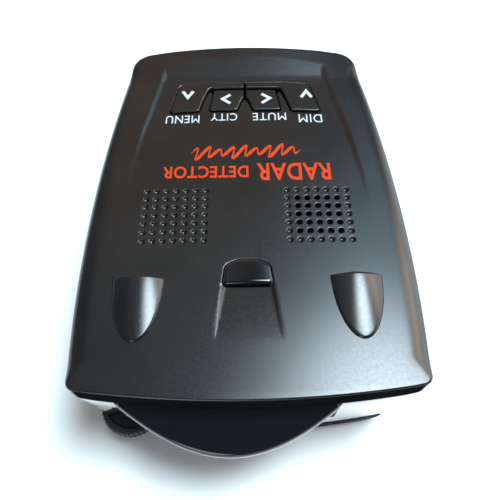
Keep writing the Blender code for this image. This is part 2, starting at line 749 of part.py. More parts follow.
def build_power_jack():
    """The power socket: a block under the board with a round collar in the left side."""
    body = box(-0.0290, -0.0190, JACK_Y - 0.0045, JACK_Y + 0.0045, JACK_Z - 0.0050, JACK_Z + 0.0050)
    jack = solid("power_socket", body, CHIP_BLACK)
    fuse(jack, tool("socket_collar", rod(0.0032, (-0.0340, JACK_Y, JACK_Z), (-0.0280, JACK_Y, JACK_Z), 24)))
    cut(jack, tool("socket_bore", rod(0.0022, (-0.0400, JACK_Y, JACK_Z), (-0.0210, JACK_Y, JACK_Z), 20)))
    pin = rod(0.0007, (-0.0320, JACK_Y, JACK_Z), (-0.0213, JACK_Y, JACK_Z), 12)
    smooth(solid("socket_pin", pin, TIN))


# Fasteners and feet


def build_screws():
    """Four screws that pass through the lower case and the board into the upper case."""
    low, high = SCREW_Z
    head_top = low + 0.0019
    for number, (x, y) in enumerate(SCREWS, 1):
        profile = [(0.0, low), (0.0015, low), (SCREW_HEAD_R, low + 0.0005), (SCREW_HEAD_R, head_top),
                   (SCREW_R, head_top), (SCREW_R, high - 0.0008), (0.0004, high), (0.0, high)]
        screw = solid(f"case_screw_{number}", lathe(profile, (x, y), 16), STEEL)
        for turn in (0, 1):
            wide, thin = (0.0011, 0.0003) if turn else (0.0003, 0.0011)
            cut(screw, tool("screw_cross", box(x - wide, x + wide, y - thin, y + thin, 0.0, low + 0.0009)))


def build_underside():
    """Four rubber feet, a blank rating plate and a hook-and-loop pad under the lower case."""
    for number, (x, y) in enumerate(FEET, 1):
        foot = bevelled(rod(FOOT_R, (x, y, 0.0), (x, y, FOOT_T), 24), 0.0, 0.0003, 2)
        smooth(solid(f"foot_{number}", foot, RUBBER))
    wide, deep = PLATE_HALF
    plate = rectangle(-wide, wide, PLATE_Y - deep, PLATE_Y + deep, 0.0015)
    solid("rating_plate", prism(plate, BOTTOM_Z - 2 * GAP, BOTTOM_Z - GAP), LABEL)
    wide, deep = PAD_HALF
    pad = rectangle(-wide, wide, PAD_Y - deep, PAD_Y + deep, 0.0010)
    solid("hook_loop_pad", prism(pad, *PAD_Z), FABRIC)


def build():
    """Builds every piece of the radar detector."""
    build_upper_case()
    build_lower_case()
    build_front_panel()
    build_laser_lens()
    build_top_lens()
    build_window()
    build_buttons()
    build_volume_wheel()
    build_board()
    build_horn()
    build_laser_sensor()
    build_top_sensor()
    build_speaker()
    build_display()
    build_chips()
    build_power_jack()
    build_screws()
    build_underside()


build()
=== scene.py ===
"""Looks for the radar detector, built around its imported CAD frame."""

import math

import bmesh
import bpy
import numpy as np
from mathutils import Matrix, Vector
from mathutils.geometry import delaunay_2d_cdt
from mathutils.kdtree import KDTree


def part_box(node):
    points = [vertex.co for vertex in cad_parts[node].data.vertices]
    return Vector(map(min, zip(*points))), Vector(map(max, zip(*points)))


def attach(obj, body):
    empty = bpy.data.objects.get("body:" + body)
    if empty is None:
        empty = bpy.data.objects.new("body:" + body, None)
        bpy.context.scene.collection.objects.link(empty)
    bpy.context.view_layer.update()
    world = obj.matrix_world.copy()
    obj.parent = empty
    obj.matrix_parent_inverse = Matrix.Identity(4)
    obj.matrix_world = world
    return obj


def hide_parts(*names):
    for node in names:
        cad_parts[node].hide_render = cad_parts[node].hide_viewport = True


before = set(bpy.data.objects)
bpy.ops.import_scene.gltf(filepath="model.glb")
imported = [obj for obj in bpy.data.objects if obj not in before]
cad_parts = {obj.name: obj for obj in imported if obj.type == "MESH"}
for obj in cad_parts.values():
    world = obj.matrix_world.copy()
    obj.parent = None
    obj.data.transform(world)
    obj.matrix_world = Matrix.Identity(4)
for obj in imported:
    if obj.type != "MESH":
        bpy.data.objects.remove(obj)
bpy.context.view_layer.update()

MM = 0.001


def box_mm(node):
    """The low and high corners of a CAD node, in millimetres."""
    return [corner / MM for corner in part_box(node)]


# Case sizes, from the frame where it gives them. All lengths are in millimetres.
CASE_LOW, CASE_HIGH = box_mm("upper_case")
HALF_WIDTH = CASE_HIGH.x
FRONT_Y = CASE_LOW.y
REAR_Y = CASE_HIGH.y
RIM_Z = 24.0
DECK_Z = 30.0
FRONT_SWEEP = 3.1
REAR_SWEEP = 1.2
WIDEST_Y = -14.0
REAR_TAPER = 3.75
REAR_SPAN = 53.8
FRONT_PINCH = 1.1
FRONT_SPAN = 26.0
CORNER_FRONT = (35.7, -43.0)
CORNER_REAR = (31.3, 53.9)
CORNER_FRONT_R = 2.4
CORNER_REAR_R = 6.5
SIDE_DRAFT = 0.13
REAR_DRAFT = 0.055
BOTTOM_Z = box_mm("lower_case")[0].z
OUTLINE_STEP = 0.55
FRONT_ARC_X = 32.0
SIDE_Y = (-38.0, 42.0)
REAR_ARC_X = 22.0
ROLL_Y = (-43.4, -37.0)

# Deck relief
CROWN = 0.8
ROLL_SIDE = 4.6
ROLL_DROP = 2.1
ROLL_FRONT = 0.45
ROLL_STEPS = 10
DISH = 0.55
DISH_FADE = (-6.0, 36.0)
RAIL = ((-6.0, 29.4), (10.0, 28.4), (23.0, 26.6), (44.5, 22.6))
RAIL_SOFT = 1.6
RISER_Y = 44.6
RISER_RUN = 7.0
RISER_BOW = 2.3
RISER_BOW_X = 20.0
RISER_LEAST = 1.5
BROW_RISE = 1.6
BROW_FROM = 43.0
BROW_FALL = 1.2
BROW_HALF = 26.0
ROLL_REAR = 0.9
ROLL_REAR_FROM = (44.0, 52.0)
BLISTER_X = 23.4
BLISTER_REAR = -19.4
BLISTER_LENGTH = 14.6
BLISTER_HALF = 5.6
BLISTER_HIGH = 1.8
BLISTER_POWER = 2.0
BLISTER_TAPER = 1.3
BLISTER_WALL = 0.4
BLISTER_STEPS = ((-0.28, 0.0), (0.0, 0.0), (0.12, 0.55), (0.30, 0.92), (0.55, 1.0))
CHANNEL_REAR = -20.9
CHANNEL_FRONT = -34.2
CHANNEL_HALF = (4.7, 6.9)
CHANNEL_DEPTH = 0.7
CHANNEL_WALL = 0.9
CHANNEL_LEAST = 0.05
CHANNEL_TAPER = 1.6
CHANNEL_STEP = (-0.4, 0.2)
CHANNEL_CLEAR = 1.2
CHANNEL_ACROSS = (0.0, 0.25, 0.5, 0.75, 1.0)
GRILLE_PITCH = 2.35
GRILLE_X = 9.7
GRILLE_Y = 3.9
GRILLE_ROWS = 7
HOLE_R = 0.70
HOLE_RIM = 0.12
DIMPLE_DEPTH = 0.52
DIMPLE_STEPS = (0.85, 0.65, 0.4, 0.2)
SPEAKER_ROWS = 5
SHELL_T = 1.6
SHELL_WALL = 2.0
WALL_TOP_STEP = 0.4
WALL_STEPS = ((0.0, 0.9), (0.0, 0.16), (0.05, 0.05), (0.16, 0.0))

# Buttons, as outlines from the middle of the deck out to +X
OUTER_BUTTON = ((0.1, 39.5), (9.7, 39.4), (11.2, 34.9), (12.2, 30.7), (20.5, 30.2), (18.0, 41.4),
                (11.0, 42.1), (0.1, 42.1))
OUTER_RADII = (0.5, 1.1, 0.0, 0.9, 1.1, 1.6, 0.0, 0.5)
INNER_BUTTON = ((0.1, 36.2), (1.1, 34.0), (2.0, 30.9), (9.8, 30.9), (9.2, 35.0), (8.6, 39.0), (0.1, 39.1))
INNER_RADII = (0.6, 0.0, 1.2, 0.8, 0.0, 0.9, 0.5)
OPENING = INNER_BUTTON[1:5] + ((8.8, 38.4), (9.9, 38.4)) + OUTER_BUTTON[2:7]
OPENING_RADII = INNER_RADII[1:5] + (0.5, 0.5) + OUTER_RADII[2:7]
OPENING_PEAK = (0.0, 36.0)
OPENING_RIM = 0.28
PEAK_R = 0.5
BUTTON_GAP = 0.2
BUTTON_PROUD = 0.5
CAP_EDGE = ((0.0, 0.45), (0.05, 0.26), (0.16, 0.10), (0.30, 0.02), (0.45, 0.0))
STEM_LOW = box_mm("button_menu")[0].z
CAP_LOW = STEM_LOW + 2.9
STEM_R = 1.8
STEMS = {"menu": (-15.5, 34.5), "city": (-5.2, 34.7), "mute": (5.2, 34.7), "dim": (15.5, 34.5)}

# Sensor window on the deck
SENSOR = ((-5.45, -21.4), (5.45, -21.4), (4.8, -16.6), (2.0, -15.4), (-2.0, -15.4), (-4.8, -16.6))
SENSOR_RADII = (0.9, 0.9, 1.7, 3.6, 3.6, 1.7)
SENSOR_LOW, SENSOR_TOP = (corner.z for corner in box_mm("top_sensor_lens"))
SENSOR_BOW = 0.006
SENSOR_GAP = 0.15
SENSOR_RIM = 0.28
SENSOR_EDGE = ((0.0, 0.75), (0.05, 0.42), (0.22, 0.16), (0.50, 0.03), (0.85, 0.0))

# Underside of the deck, grid steps
SCREWS = ((25.0, -27.0), (-25.0, -27.0), (23.5, 27.0), (-23.5, 27.0))
POST_R = 2.8
POST_LOW = 17.9
POST_CLEAR = 3.4
BORE_R = 1.3
BORE_TOP = 24.3
POST_PROFILE = ((POST_R + 0.15, None), (POST_R, POST_LOW), (BORE_R + 0.05, POST_LOW), (BORE_R, BORE_TOP))
GUARD = 0.14
NEAR = 1.2
FINE_STEP = 0.45
COARSE_STEP = 1.1
UNDER_STEP = 2.5

# Lower case
LOWER_TOP = box_mm("lower_case")[1].z
FLOOR_TOP = 3.4
FOOT_ROUND = 2.0
PANEL_T = 1.8
PANEL_LOW, PANEL_HIGH = (corner.z for corner in box_mm("front_panel"))
WINDOW_LOW, WINDOW_HIGH = (corner.z for corner in box_mm("display_window"))
WINDOW_HALF = box_mm("display_window")[1].x
WINDOW_T = 1.6
GAP = 0.3
OVERSHOOT = 3.0
LENS_ROOM_Y = (-60.0, -30.0)
JACK = (-12.0, 10.2)
JACK_R = 3.5
JACK_BORE_X = (-45.0, -25.0)
PILLAR = ((POST_R, BOTTOM_Z + 1.0), (POST_R, 15.7))
SCREW_BORE = ((2.2, -1.0), (2.2, 6.2), (BORE_R, 6.2), (BORE_R, 17.0))
FOOT_PROFILE = ((0.7, 0.35), (1.1, 0.12), (1.6, 0.0), (2.4, 0.0), (2.55, 0.18), (2.85, 0.18), (3.0, 0.0),
                (3.6, 0.0), (3.85, 0.1), (3.97, 0.3), (4.0, 0.6), (4.0, 0.9))

# Laser lens
LENS_X = -3.7
LENS_ENDS = (-27.0, 18.2)
LENS_TILT = 0.17
LENS_NOSE_Y, LENS_BACK_Y = (corner.y for corner in box_mm("laser_lens"))
LENS_LOW, LENS_HIGH = (corner.z for corner in box_mm("laser_lens"))
LENS_NOSE_R = 27.0
LENS_FLANK = 1.137
LENS_SET = 0.6
LENS_WALL = 1.7
LENS_CORE_INSET = 3.2
LENS_CORE_DROP = 4.0
LENS_PROFILE = ((2.6, 0.0), (2.1, 0.5), (1.4, 2.2), (0.6, 5.0), (0.15, 8.0), (0.0, 9.6), (0.03, 10.3),
                (0.18, 10.8), (0.45, 11.15), (0.8, 11.3))

# Volume wheel
WHEEL = (-27.3, -40.6)
WHEEL_R = 6.9
WHEEL_LOW, SHAFT_TOP = (corner.z for corner in box_mm("volume_wheel"))
WHEEL_TOP = WHEEL_LOW + 3.5
SHAFT_R = 0.8
WHEEL_TEETH = 40
RIDGE = 0.32
RIDGE_POWER = 0.7

# The wheel's profile: radius, share of the ridges' depth, and height from its lower or upper face
WHEEL_BELOW = ((0.9, 0.0, 0.5), (5.0, 0.0, 0.5), (5.4, 0.0, 0.0), (WHEEL_R - 0.55, 0.0, 0.0),
               (WHEEL_R - 0.15, 0.5, 0.2), (WHEEL_R, 1.0, 0.5))
WHEEL_ABOVE = ((WHEEL_R, 1.0, -0.5), (WHEEL_R - 0.15, 0.5, -0.2), (WHEEL_R - 0.55, 0.0, 0.0), (5.4, 0.0, 0.0),
               (5.0, 0.0, -0.4), (1.9, 0.0, -0.4), (1.7, 0.0, 0.0), (SHAFT_R, 0.0, 0.0))

# Hook-and-loop pad
NAP_HIGH = 0.3
NAP_STEP = 0.4
NAP_SEED = 5
NAP_POINTS = 40000

# Printed marks. A chevron is its tip and two ends. A word is its text and its low and high corners.
INK_T = 0.05
STROKE = 0.85
LETTER_GAP = 1.06
CHEVRONS = {
    "menu": ((-15.5, 35.1), (-16.95, 38.4), (-14.1, 38.35)),
    "city": ((-6.9, 35.2), (-3.95, 36.8), (-3.95, 33.5)),
    "mute": ((7.65, 35.4), (4.55, 37.0), (4.55, 33.5)),
    "dim": ((16.9, 38.9), (15.35, 35.6), (18.15, 35.6)),
}
LABELS = {
    "menu": ("MENU", (-21.0, 26.8), (-12.1, 29.6)),
    "city": ("CITY", (-9.1, 27.5), (-2.1, 30.2)),
    "mute": ("MUTE", (2.0, 27.5), (10.9, 30.2)),
    "dim": ("DIM", (14.2, 26.6), (20.4, 29.5)),
}
TITLE = {
    "title_large": ("RADAR", (2.6, 6.9), (20.8, 12.4)),
    "title_small": ("DETECTOR", (-20.5, 7.9), (0.6, 11.7)),
}
TITLE_WEIGHT = 0.02
TRACE_X = (-13.8, 13.8)
TRACE_Y = 16.4
TRACE_HIGH = 2.2
TRACE_WAVES = 9
TRACE_SLANT = 0.9

# Studio. The camera looks along the cross product of its up and right directions.
CAMERA_PLACE = (-0.38, -70.6, 125.4)
CAMERA_RIGHT = (0.99985, -0.01703, -0.00021)
CAMERA_UP = (0.01468, 0.85535, 0.51785)
CAMERA_LENS = 36.17
FLOOR_HALF = 3000.0
SKY_LOW = (0.20, 0.20, 0.20)
SKY_HIGH = (0.12, 0.13, 0.14)

# Soft round lights: direction, inner and outer radius in degrees, colour, strength
LOBES = (
    ((0.31, 0.15, 0.94), 5.0, 17.5, (0.72, 0.88, 0.97), 30.0),
    ((0.38, 0.44, 0.81), 4.0, 20.0, (0.50, 0.80, 1.0), 2.2),
    ((0.68, 0.36, 0.63), 4.0, 15.0, (1.0, 0.74, 0.48), 5.0),
    ((0.92, 0.25, 0.18), 12.0, 38.0, (0.92, 0.97, 1.0), 3.0),
    ((-0.25, -0.87, 0.36), 6.0, 17.0, (0.95, 0.97, 1.0), 5.0),
    ((-0.28, 0.30, 0.91), 5.0, 22.0, (0.55, 0.85, 0.90), 0.30),
    ((-0.20, 0.75, 0.63), 10.0, 32.0, (1.0, 0.55, 0.26), 0.35),
)


# Numbers


def spread(low, high, count):
    """Evenly spaced values from low to high, both ends included."""
    return [low + (high - low) * i / (count - 1) for i in range(count)]


def ease(low, high, value):
    """0 below low, 1 above high, and smooth between them."""
    t = np.clip((value - low) / (high - low), 0.0, 1.0)
    return t * t * (3.0 - 2.0 * t)


# Outlines, as lists of (x, y), anticlockwise


def rounded(points, radii, steps=8):
    """A closed outline with an arc of the given radius at each corner."""
    made = []
    count = len(points)
    for i, (corner, radius) in enumerate(zip(points, radii)):
        here = Vector(corner)
        if radius <= 0:
            made.append(tuple(here))
            continue
        back = (Vector(points[i - 1]) - here).normalized()
        ahead = (Vector(points[(i + 1) % count]) - here).normalized()
        half = back.angle(ahead) / 2
        start = here + back * (radius / math.tan(half))
        end = here + ahead * (radius / math.tan(half))
        centre = here + (back + ahead).normalized() * (radius / math.sin(half))
        sweep = (start - centre).angle_signed(end - centre)
        for k in range(steps + 1):
            turn = Matrix.Rotation(-sweep * k / steps, 2)
            made.append(tuple(centre + turn @ (start - centre)))
    return made


def offset(points, distance):
    """An outline moved outwards by distance, which may be one number or one for each point."""
    pts = np.array(points, float)
    back = pts - np.roll(pts, 1, axis=0)
    ahead = np.roll(pts, -1, axis=0) - pts
    back /= np.linalg.norm(back, axis=1)[:, None]
    ahead /= np.linalg.norm(ahead, axis=1)[:, None]
    normal = np.stack([back[:, 1] + ahead[:, 1], -back[:, 0] - ahead[:, 0]], 1)
    normal /= np.linalg.norm(normal, axis=1)[:, None]
    lean = np.maximum(0.35, normal[:, 0] * ahead[:, 1] - normal[:, 1] * ahead[:, 0])
    return [tuple(p) for p in pts + normal * (np.broadcast_to(distance, len(pts)) / lean)[:, None]]


def resampled(points, step):
    """A closed outline with its points respaced evenly along it."""
    pts = np.array(list(points) + [points[0]], float)
    run = np.concatenate([[0.0], np.cumsum(np.linalg.norm(np.diff(pts, axis=0), axis=1))])
    count = max(8, int(round(run[-1] / step)))
    at = np.arange(count) * run[-1] / count
    return [tuple(p) for p in np.stack([np.interp(at, run, pts[:, 0]), np.interp(at, run, pts[:, 1])], 1)]


def mirrored(points):
    """The outline reflected in x = 0, still anticlockwise."""
    return [(-x, y) for x, y in reversed(points)]


def circle(x, y, radius, count):
    """A round outline."""
    return [(x + radius * math.cos(2 * math.pi * i / count), y + radius * math.sin(2 * math.pi * i / count))
            for i in range(count)]


def inside(x, y, outline):
    """For each place, whether it lies inside the outline."""
    hit = np.zeros(len(x), bool)
    for (x0, y0), (x1, y1) in zip(outline, outline[1:] + outline[:1]):
        if y0 != y1:
            hit ^= ((y0 > y) != (y1 > y)) & (x < (x1 - x0) * (y - y0) / (y1 - y0) + x0)
    return hit


def within(x, y, outline, holes=()):
    """For each place, whether it lies inside the outline and outside every hole."""
    keep = inside(x, y, outline)
    for hole in holes:
        keep &= ~inside(x, y, hole)
    return keep


def half_width(y):
    """Half the case's width at y."""
    taper = REAR_TAPER * (np.maximum(y - WIDEST_Y, 0.0) / REAR_SPAN) ** 2
    pinch = FRONT_PINCH * (np.maximum(WIDEST_Y - y, 0.0) / FRONT_SPAN) ** 2
    return HALF_WIDTH - taper - pinch


def front_arc(x):
    """The swept front edge."""
    return FRONT_Y + FRONT_SWEEP * (x / HALF_WIDTH) ** 2


def rear_arc(x):
    """The gently bowed rear edge."""
    return REAR_Y - REAR_SWEEP * (x / HALF_WIDTH) ** 2


def case_outline(step=OUTLINE_STEP):
    """The plan outline of the case."""
    front = [(x, front_arc(x)) for x in spread(0.0, FRONT_ARC_X, 20)]
    side = [(float(half_width(y)), y) for y in spread(*SIDE_Y, 40)]
    rear = [(x, rear_arc(x)) for x in spread(REAR_ARC_X, 0.0, 14)]
    points = front + [CORNER_FRONT] + side + [CORNER_REAR] + rear
    radii = [0.0] * len(front) + [CORNER_FRONT_R] + [0.0] * len(side) + [CORNER_REAR_R] + [0.0] * len(rear)
    right = rounded(points, radii)
    left = [(-x, y) for x, y in reversed(right) if x > 0.01]
    return resampled(right + left, step)


# The deck's relief, as heights over the plan


def rail_x(y):
    """How far out the dished panel's edge is at y."""
    ys, xs = zip(*RAIL)
    return np.interp(y, ys, xs)


def dish(x, y):
    """How far the dished middle of the deck lies below its border."""
    depth = DISH * ease(*DISH_FADE, y)
    across = 1.0 - ease(-RAIL_SOFT / 2, RAIL_SOFT / 2, np.abs(x) - rail_x(y))
    far = RISER_Y + RISER_RUN - RISER_BOW * (x / RISER_BOW_X) ** 2
    climb = np.clip((y - RISER_Y) / np.maximum(far - RISER_Y, RISER_LEAST), 0.0, 1.0)
    return depth * across * (1.0 - climb)


def brow(x, y):
    """How far the rear end rises towards its edge, most in the middle."""
    high = BROW_RISE - BROW_FALL * np.minimum((x / BROW_HALF) ** 2, 1.0)
    return high * np.clip((y - BROW_FROM) / (REAR_Y - BROW_FROM), 0.0, 1.0)


def blister_body(x, y):
    """Height of a blister's rounded back above the deck, continued past its own foot."""
    along = np.clip((BLISTER_REAR - y) / BLISTER_LENGTH, 0.0, 1.0)
    half = BLISTER_HALF * np.sqrt(np.maximum(1.0 - along ** 2, 0.0)) + 1e-6
    across = np.abs(np.abs(x) - BLISTER_X) / half
    crown = np.maximum(1.0 - across ** BLISTER_POWER, 0.0)
    return BLISTER_HIGH * (1.0 - along ** BLISTER_TAPER) * crown + BLISTER_WALL


def blister_rise(x, y):
    """Height of the two blisters above the deck."""
    along = (BLISTER_REAR - y) / BLISTER_LENGTH
    across = (np.abs(x) - BLISTER_X) / BLISTER_HALF
    return np.where((along >= 0.0) & (along ** 2 + across ** 2 < 1.0), blister_body(x, y), 0.0)


def channel_along(y):
    """0 at the ramp's deep rear end, 1 where it runs out in front."""
    return np.clip((CHANNEL_REAR - y) / (CHANNEL_REAR - CHANNEL_FRONT), 0.0, 1.0)


def channel_half(y):
    """Half the floor width of the ramp in front of the sensor window."""
    return CHANNEL_HALF[0] + (CHANNEL_HALF[1] - CHANNEL_HALF[0]) * channel_along(y)


def channel_slope(y):
    """Width of the ramp's side walls."""
    return CHANNEL_WALL * (1.0 - channel_along(y)) + CHANNEL_LEAST


def channel_drop(x, y):
    """Depth of the ramp in front of the sensor window."""
    depth = CHANNEL_DEPTH * (1.0 - channel_along(y)) ** CHANNEL_TAPER * ease(*CHANNEL_STEP, CHANNEL_REAR - y)
    return depth * (1.0 - ease(0.0, 1.0, (np.abs(x) - channel_half(y)) / channel_slope(y)))


def on_channel_wall(x, y):
    """Whether a place is on or beside one of the ramp's side walls."""
    beside = np.abs(x) - channel_half(y)
    return (beside > -GUARD) & (beside < CHANNEL_WALL + GUARD) & (y < CHANNEL_REAR) & (y > CHANNEL_FRONT)


def deck_height(x, y):
    """Height of the deck's outer surface, without the rolled edges."""
    crown = CROWN * (np.abs(x) / HALF_WIDTH) ** 3
    return DECK_Z - crown - dish(x, y) + brow(x, y) + blister_rise(x, y) - channel_drop(x, y)


# Meshes


def thing(name, data):
    """An object linked to the scene."""
    obj = bpy.data.objects.new(name, data)
    bpy.context.scene.collection.objects.link(obj)
    return obj


class Plan:
    """A surface over the plan, made of loops and scattered points that are joined into triangles."""

    def __init__(self, height):
        self.height = height
        self.places = []
        self.levels = []
        self.edges = []

    def add(self, line, drop=0.0, level=None, closed=True):
        """Adds a line of points, drop below the surface or at one level, and returns their numbers."""
        pts = np.array(line, float)
        surface = self.height(pts[:, 0], pts[:, 1]) - drop
        first = len(self.places)
        ids = list(range(first, first + len(pts)))
        self.places += [tuple(p) for p in pts]
        self.levels += list(surface if level is None else np.full(len(pts), level))
        self.edges += list(zip(ids, ids[1:] + ids[:1])) if closed else list(zip(ids, ids[1:]))
        return ids

    def scatter(self, step, keep):
        """Adds a grid of points of one spacing where keep allows, clear of the points already there."""
        low, high = np.min(self.places, 0), np.max(self.places, 0)
        rows = np.arange(low[1], high[1], step * math.sqrt(0.75))
        columns = np.arange(low[0], high[0], step)
        grid = [(x + (row % 2) * step / 2, y) for row, y in enumerate(rows) for x in columns]
        grid = np.array(grid)
        grid = grid[keep(grid[:, 0], grid[:, 1])]
        tree = KDTree(len(self.places))
        for i, (x, y) in enumerate(self.places):
            tree.insert((x, y, 0.0), i)
        tree.balance()
        clear = [p for p in grid if tree.find((p[0], p[1], 0.0))[2] > 0.55 * step]
        clear = np.array(clear)
        self.places += [tuple(p) for p in clear]
        self.levels += list(self.height(clear[:, 0], clear[:, 1]))

    def crossing(self, spot):
        """Adds the point where two lines cross."""
        self.places.append(tuple(spot))
        self.levels.append(float(self.height(np.array([spot[0]]), np.array([spot[1]]))[0]))
        return len(self.places) - 1

    def triangles(self, outline, holes=()):
        """The triangles inside the outline and outside the holes, by point number."""
        points = [Vector(p) for p in self.places]
        spots, _, faces, origin, _, _ = delaunay_2d_cdt(points, self.edges, [], 0, 1e-7, True)
        number = [ids[0] if ids else self.crossing(spot) for ids, spot in zip(origin, spots)]
        faces = np.array([[number[i] for i in face] for face in faces])
        middle = np.array(self.places)[faces].mean(1)
        return faces[within(*middle.T, outline, holes)]


class Shape:
    """Points and faces collected for one mesh, in millimetres."""

    def __init__(self):
        self.points = []
        self.faces = []

    def ring(self, outline, level):
        """Adds an outline at a level, or at one level for each point."""
        first = len(self.points)
        levels = np.broadcast_to(level, len(outline))
        self.points += [(float(x), float(y), float(z)) for (x, y), z in zip(outline, levels)]
        return list(range(first, len(self.points)))

    def band(self, low, high):
        """Joins two rings of the same count."""
        for i in range(len(low)):
            j = (i + 1) % len(low)
            self.faces.append((low[i], low[j], high[j], high[i]))

    def stack(self, sections):
        """Joins (outline, level) sections in order, with flat ends."""
        rings = [self.ring(outline, level) for outline, level in sections]
        for low, high in zip(rings, rings[1:]):
            self.band(low, high)
        self.faces += [tuple(rings[0]), tuple(rings[-1])]

    def cover(self, plan, outline, holes=()):
        """Adds a plan surface. Returns where each of its points went."""
        first = len(self.points)
        faces = plan.triangles(outline, holes)
        self.points += [(x, y, float(z)) for (x, y), z in zip(plan.places, plan.levels)]
        self.faces += [tuple(first + int(i) for i in face) for face in faces]
        return lambda ids: [first + i for i in ids]

    def mesh(self, name):
        """The mesh, in metres, with its faces turned outwards."""
        bm = bmesh.new()
        verts = [bm.verts.new((x * MM, y * MM, z * MM)) for x, y, z in self.points]
        for face in self.faces:
            bm.faces.new([verts[i] for i in face])
        bmesh.ops.delete(bm, geom=[v for v in bm.verts if not v.link_faces], context="VERTS")
        bmesh.ops.recalc_face_normals(bm, faces=bm.faces)
        made = bpy.data.meshes.new(name)
        bm.to_mesh(made)
        bm.free()
        return made

    def thing(self, name):
        """The mesh as an object."""
        return thing(name, self.mesh(name))


def baked(obj):
    """obj with its modifiers applied."""
    graph = bpy.context.evaluated_depsgraph_get()
    mesh = bpy.data.meshes.new_from_object(obj.evaluated_get(graph))
    obj.modifiers.clear()
    obj.data = mesh
    return obj


def carve(obj, *cutters, operation="DIFFERENCE"):
    """obj cut by, or joined to, each cutter, which are then gone."""
    for cutter in cutters:
        mod = obj.modifiers.new("carve", "BOOLEAN")
        mod.operation = operation
        mod.solver = "EXACT"
        mod.object = cutter
    baked(obj)
    for cutter in cutters:
        bpy.data.objects.remove(cutter)
    return obj


def soften(obj, width, segments=2, angle=40.0):
    """obj with its sharp edges rounded."""
    mod = obj.modifiers.new("soften", "BEVEL")
    mod.width = width * MM
    mod.segments = segments
    mod.limit_method = "ANGLE"
    mod.angle_limit = math.radians(angle)
    mod.use_clamp_overlap = True
    return baked(obj)


def finish_piece(obj, body, look, stands_for=(), sharp=38.0):
    """Shading, material and body for one piece, and hides the CAD nodes that it stands for."""
    obj.data.shade_smooth()
    obj.data.set_sharp_from_angle(angle=math.radians(sharp))
    obj.data.materials.clear()
    obj.data.materials.append(look)
    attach(obj, body)
    if stands_for:
        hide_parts(*stands_for)


def prism(outline, low, high):
    """A flat outline raised between two levels, as a cutter or a plain start."""
    shape = Shape()
    shape.stack([(outline, low), (outline, high)])
    return shape.thing("prism")


def rod(radius, start, end, count=48):
    """A round cutter from start to end, in millimetres."""
    along = Vector(end) - Vector(start)
    turn = along.to_track_quat("Z", "Y").to_matrix().to_4x4()
    shape = Shape()
    ring = circle(0.0, 0.0, radius, count)
    shape.stack([(ring, 0.0), (ring, along.length)])
    mesh = shape.mesh("rod")
    mesh.transform(Matrix.Translation(Vector(start) * MM) @ turn)
    return thing("rod", mesh)


def drafted(outline, level):
    """The outline at a level of the lower case, whose sides and rear lean in downwards."""
    drop = (RIM_Z - level) / (RIM_Z - BOTTOM_Z)
    return [(x * (1 - SIDE_DRAFT * drop), y * (1 - REAR_DRAFT * drop) if y > 0 else y) for x, y in outline]


def drafted_stack(outline, levels):
    """Sections of the lower case's shape at the given levels."""
    return [(drafted(outline, level), level) for level in levels]


def turned(x, y, profile, count):
    """Round sections about a place, from (radius, level) pairs."""
    return [(circle(x, y, radius, count), level) for radius, level in profile]


# Upper case


def roll_share(y):
    """0 where the deck ends in a crisp lip, 1 where it rolls over into the sides."""
    return ease(*ROLL_Y, y)


def half_outline(points, radii, inset):
    """A button's outline on the +X side, pulled in for its gap."""
    return resampled(offset(rounded(points, radii, 6), -inset), 0.3)


def opening_outline():
    """The one opening that all four buttons share, with a peak of case between the inner two."""
    left = [(-x, y) for x, y in reversed(OPENING)]
    radii = (PEAK_R,) + OPENING_RADII + tuple(reversed(OPENING_RADII))
    return resampled(rounded([OPENING_PEAK] + list(OPENING) + left, radii, 6), 0.3)


def sensor_outline():
    """The sensor window: a straight near edge, leaning sides and an arched far edge."""
    return resampled(rounded(SENSOR, SENSOR_RADII, 10), 0.3)


def grille_places():
    """Each grille hole's place, and whether it goes right through to the speaker."""
    places = []
    for side in (-1, 1):
        for i in range(GRILLE_ROWS):
            for j in range(GRILLE_ROWS):
                open_hole = side > 0 and 0 < i <= SPEAKER_ROWS and 0 < j <= SPEAKER_ROWS
                place = (side * (GRILLE_X + GRILLE_PITCH * i), GRILLE_Y - GRILLE_PITCH * j)
                places.append((place, open_hole))
    return places


def blister_outline(side, inset):
    """The foot of one blister, pulled in by inset."""
    steps = spread(0.0, math.pi, 61)
    arc = [(side * BLISTER_X - (BLISTER_HALF - inset) * math.cos(a) * side,
            BLISTER_REAR - inset - (BLISTER_LENGTH - 2 * inset) * math.sin(a)) for a in steps]
    width = 2 * (BLISTER_HALF - inset)
    back = [(side * (BLISTER_X + width / 2 - width * i / 20), BLISTER_REAR - inset) for i in range(1, 20)]
    return arc + back


def channel_lines():
    """Lines along the ramp's two side walls, from their feet to their tops."""
    ys = np.linspace(CHANNEL_REAR - CHANNEL_CLEAR, CHANNEL_FRONT + 0.3, 24)
    return [list(zip(side * (channel_half(ys) + wide * channel_slope(ys)), ys))
            for side in (-1, 1) for wide in CHANNEL_ACROSS]


def near_features(x, y):
    """Whether a place needs the fine grid: blisters, ramp, brow or the dish's border."""
    blister = (np.abs(np.abs(x) - BLISTER_X) < BLISTER_HALF + NEAR) & (y < BLISTER_REAR + NEAR)
    blister &= y > BLISTER_REAR - BLISTER_LENGTH - 1.5
    ramp = (np.abs(x) < CHANNEL_HALF[1] + NEAR) & (y < CHANNEL_REAR + 0.5) & (y > CHANNEL_FRONT - 0.8)
    rise = (y > RISER_Y - 1.5) & (y < REAR_Y - ROLL_REAR) & (np.abs(x) < BROW_HALF)
    rail = (np.abs(np.abs(x) - rail_x(y)) < RAIL_SOFT) & (y > DISH_FADE[0])
    return blister | ramp | rise | rail


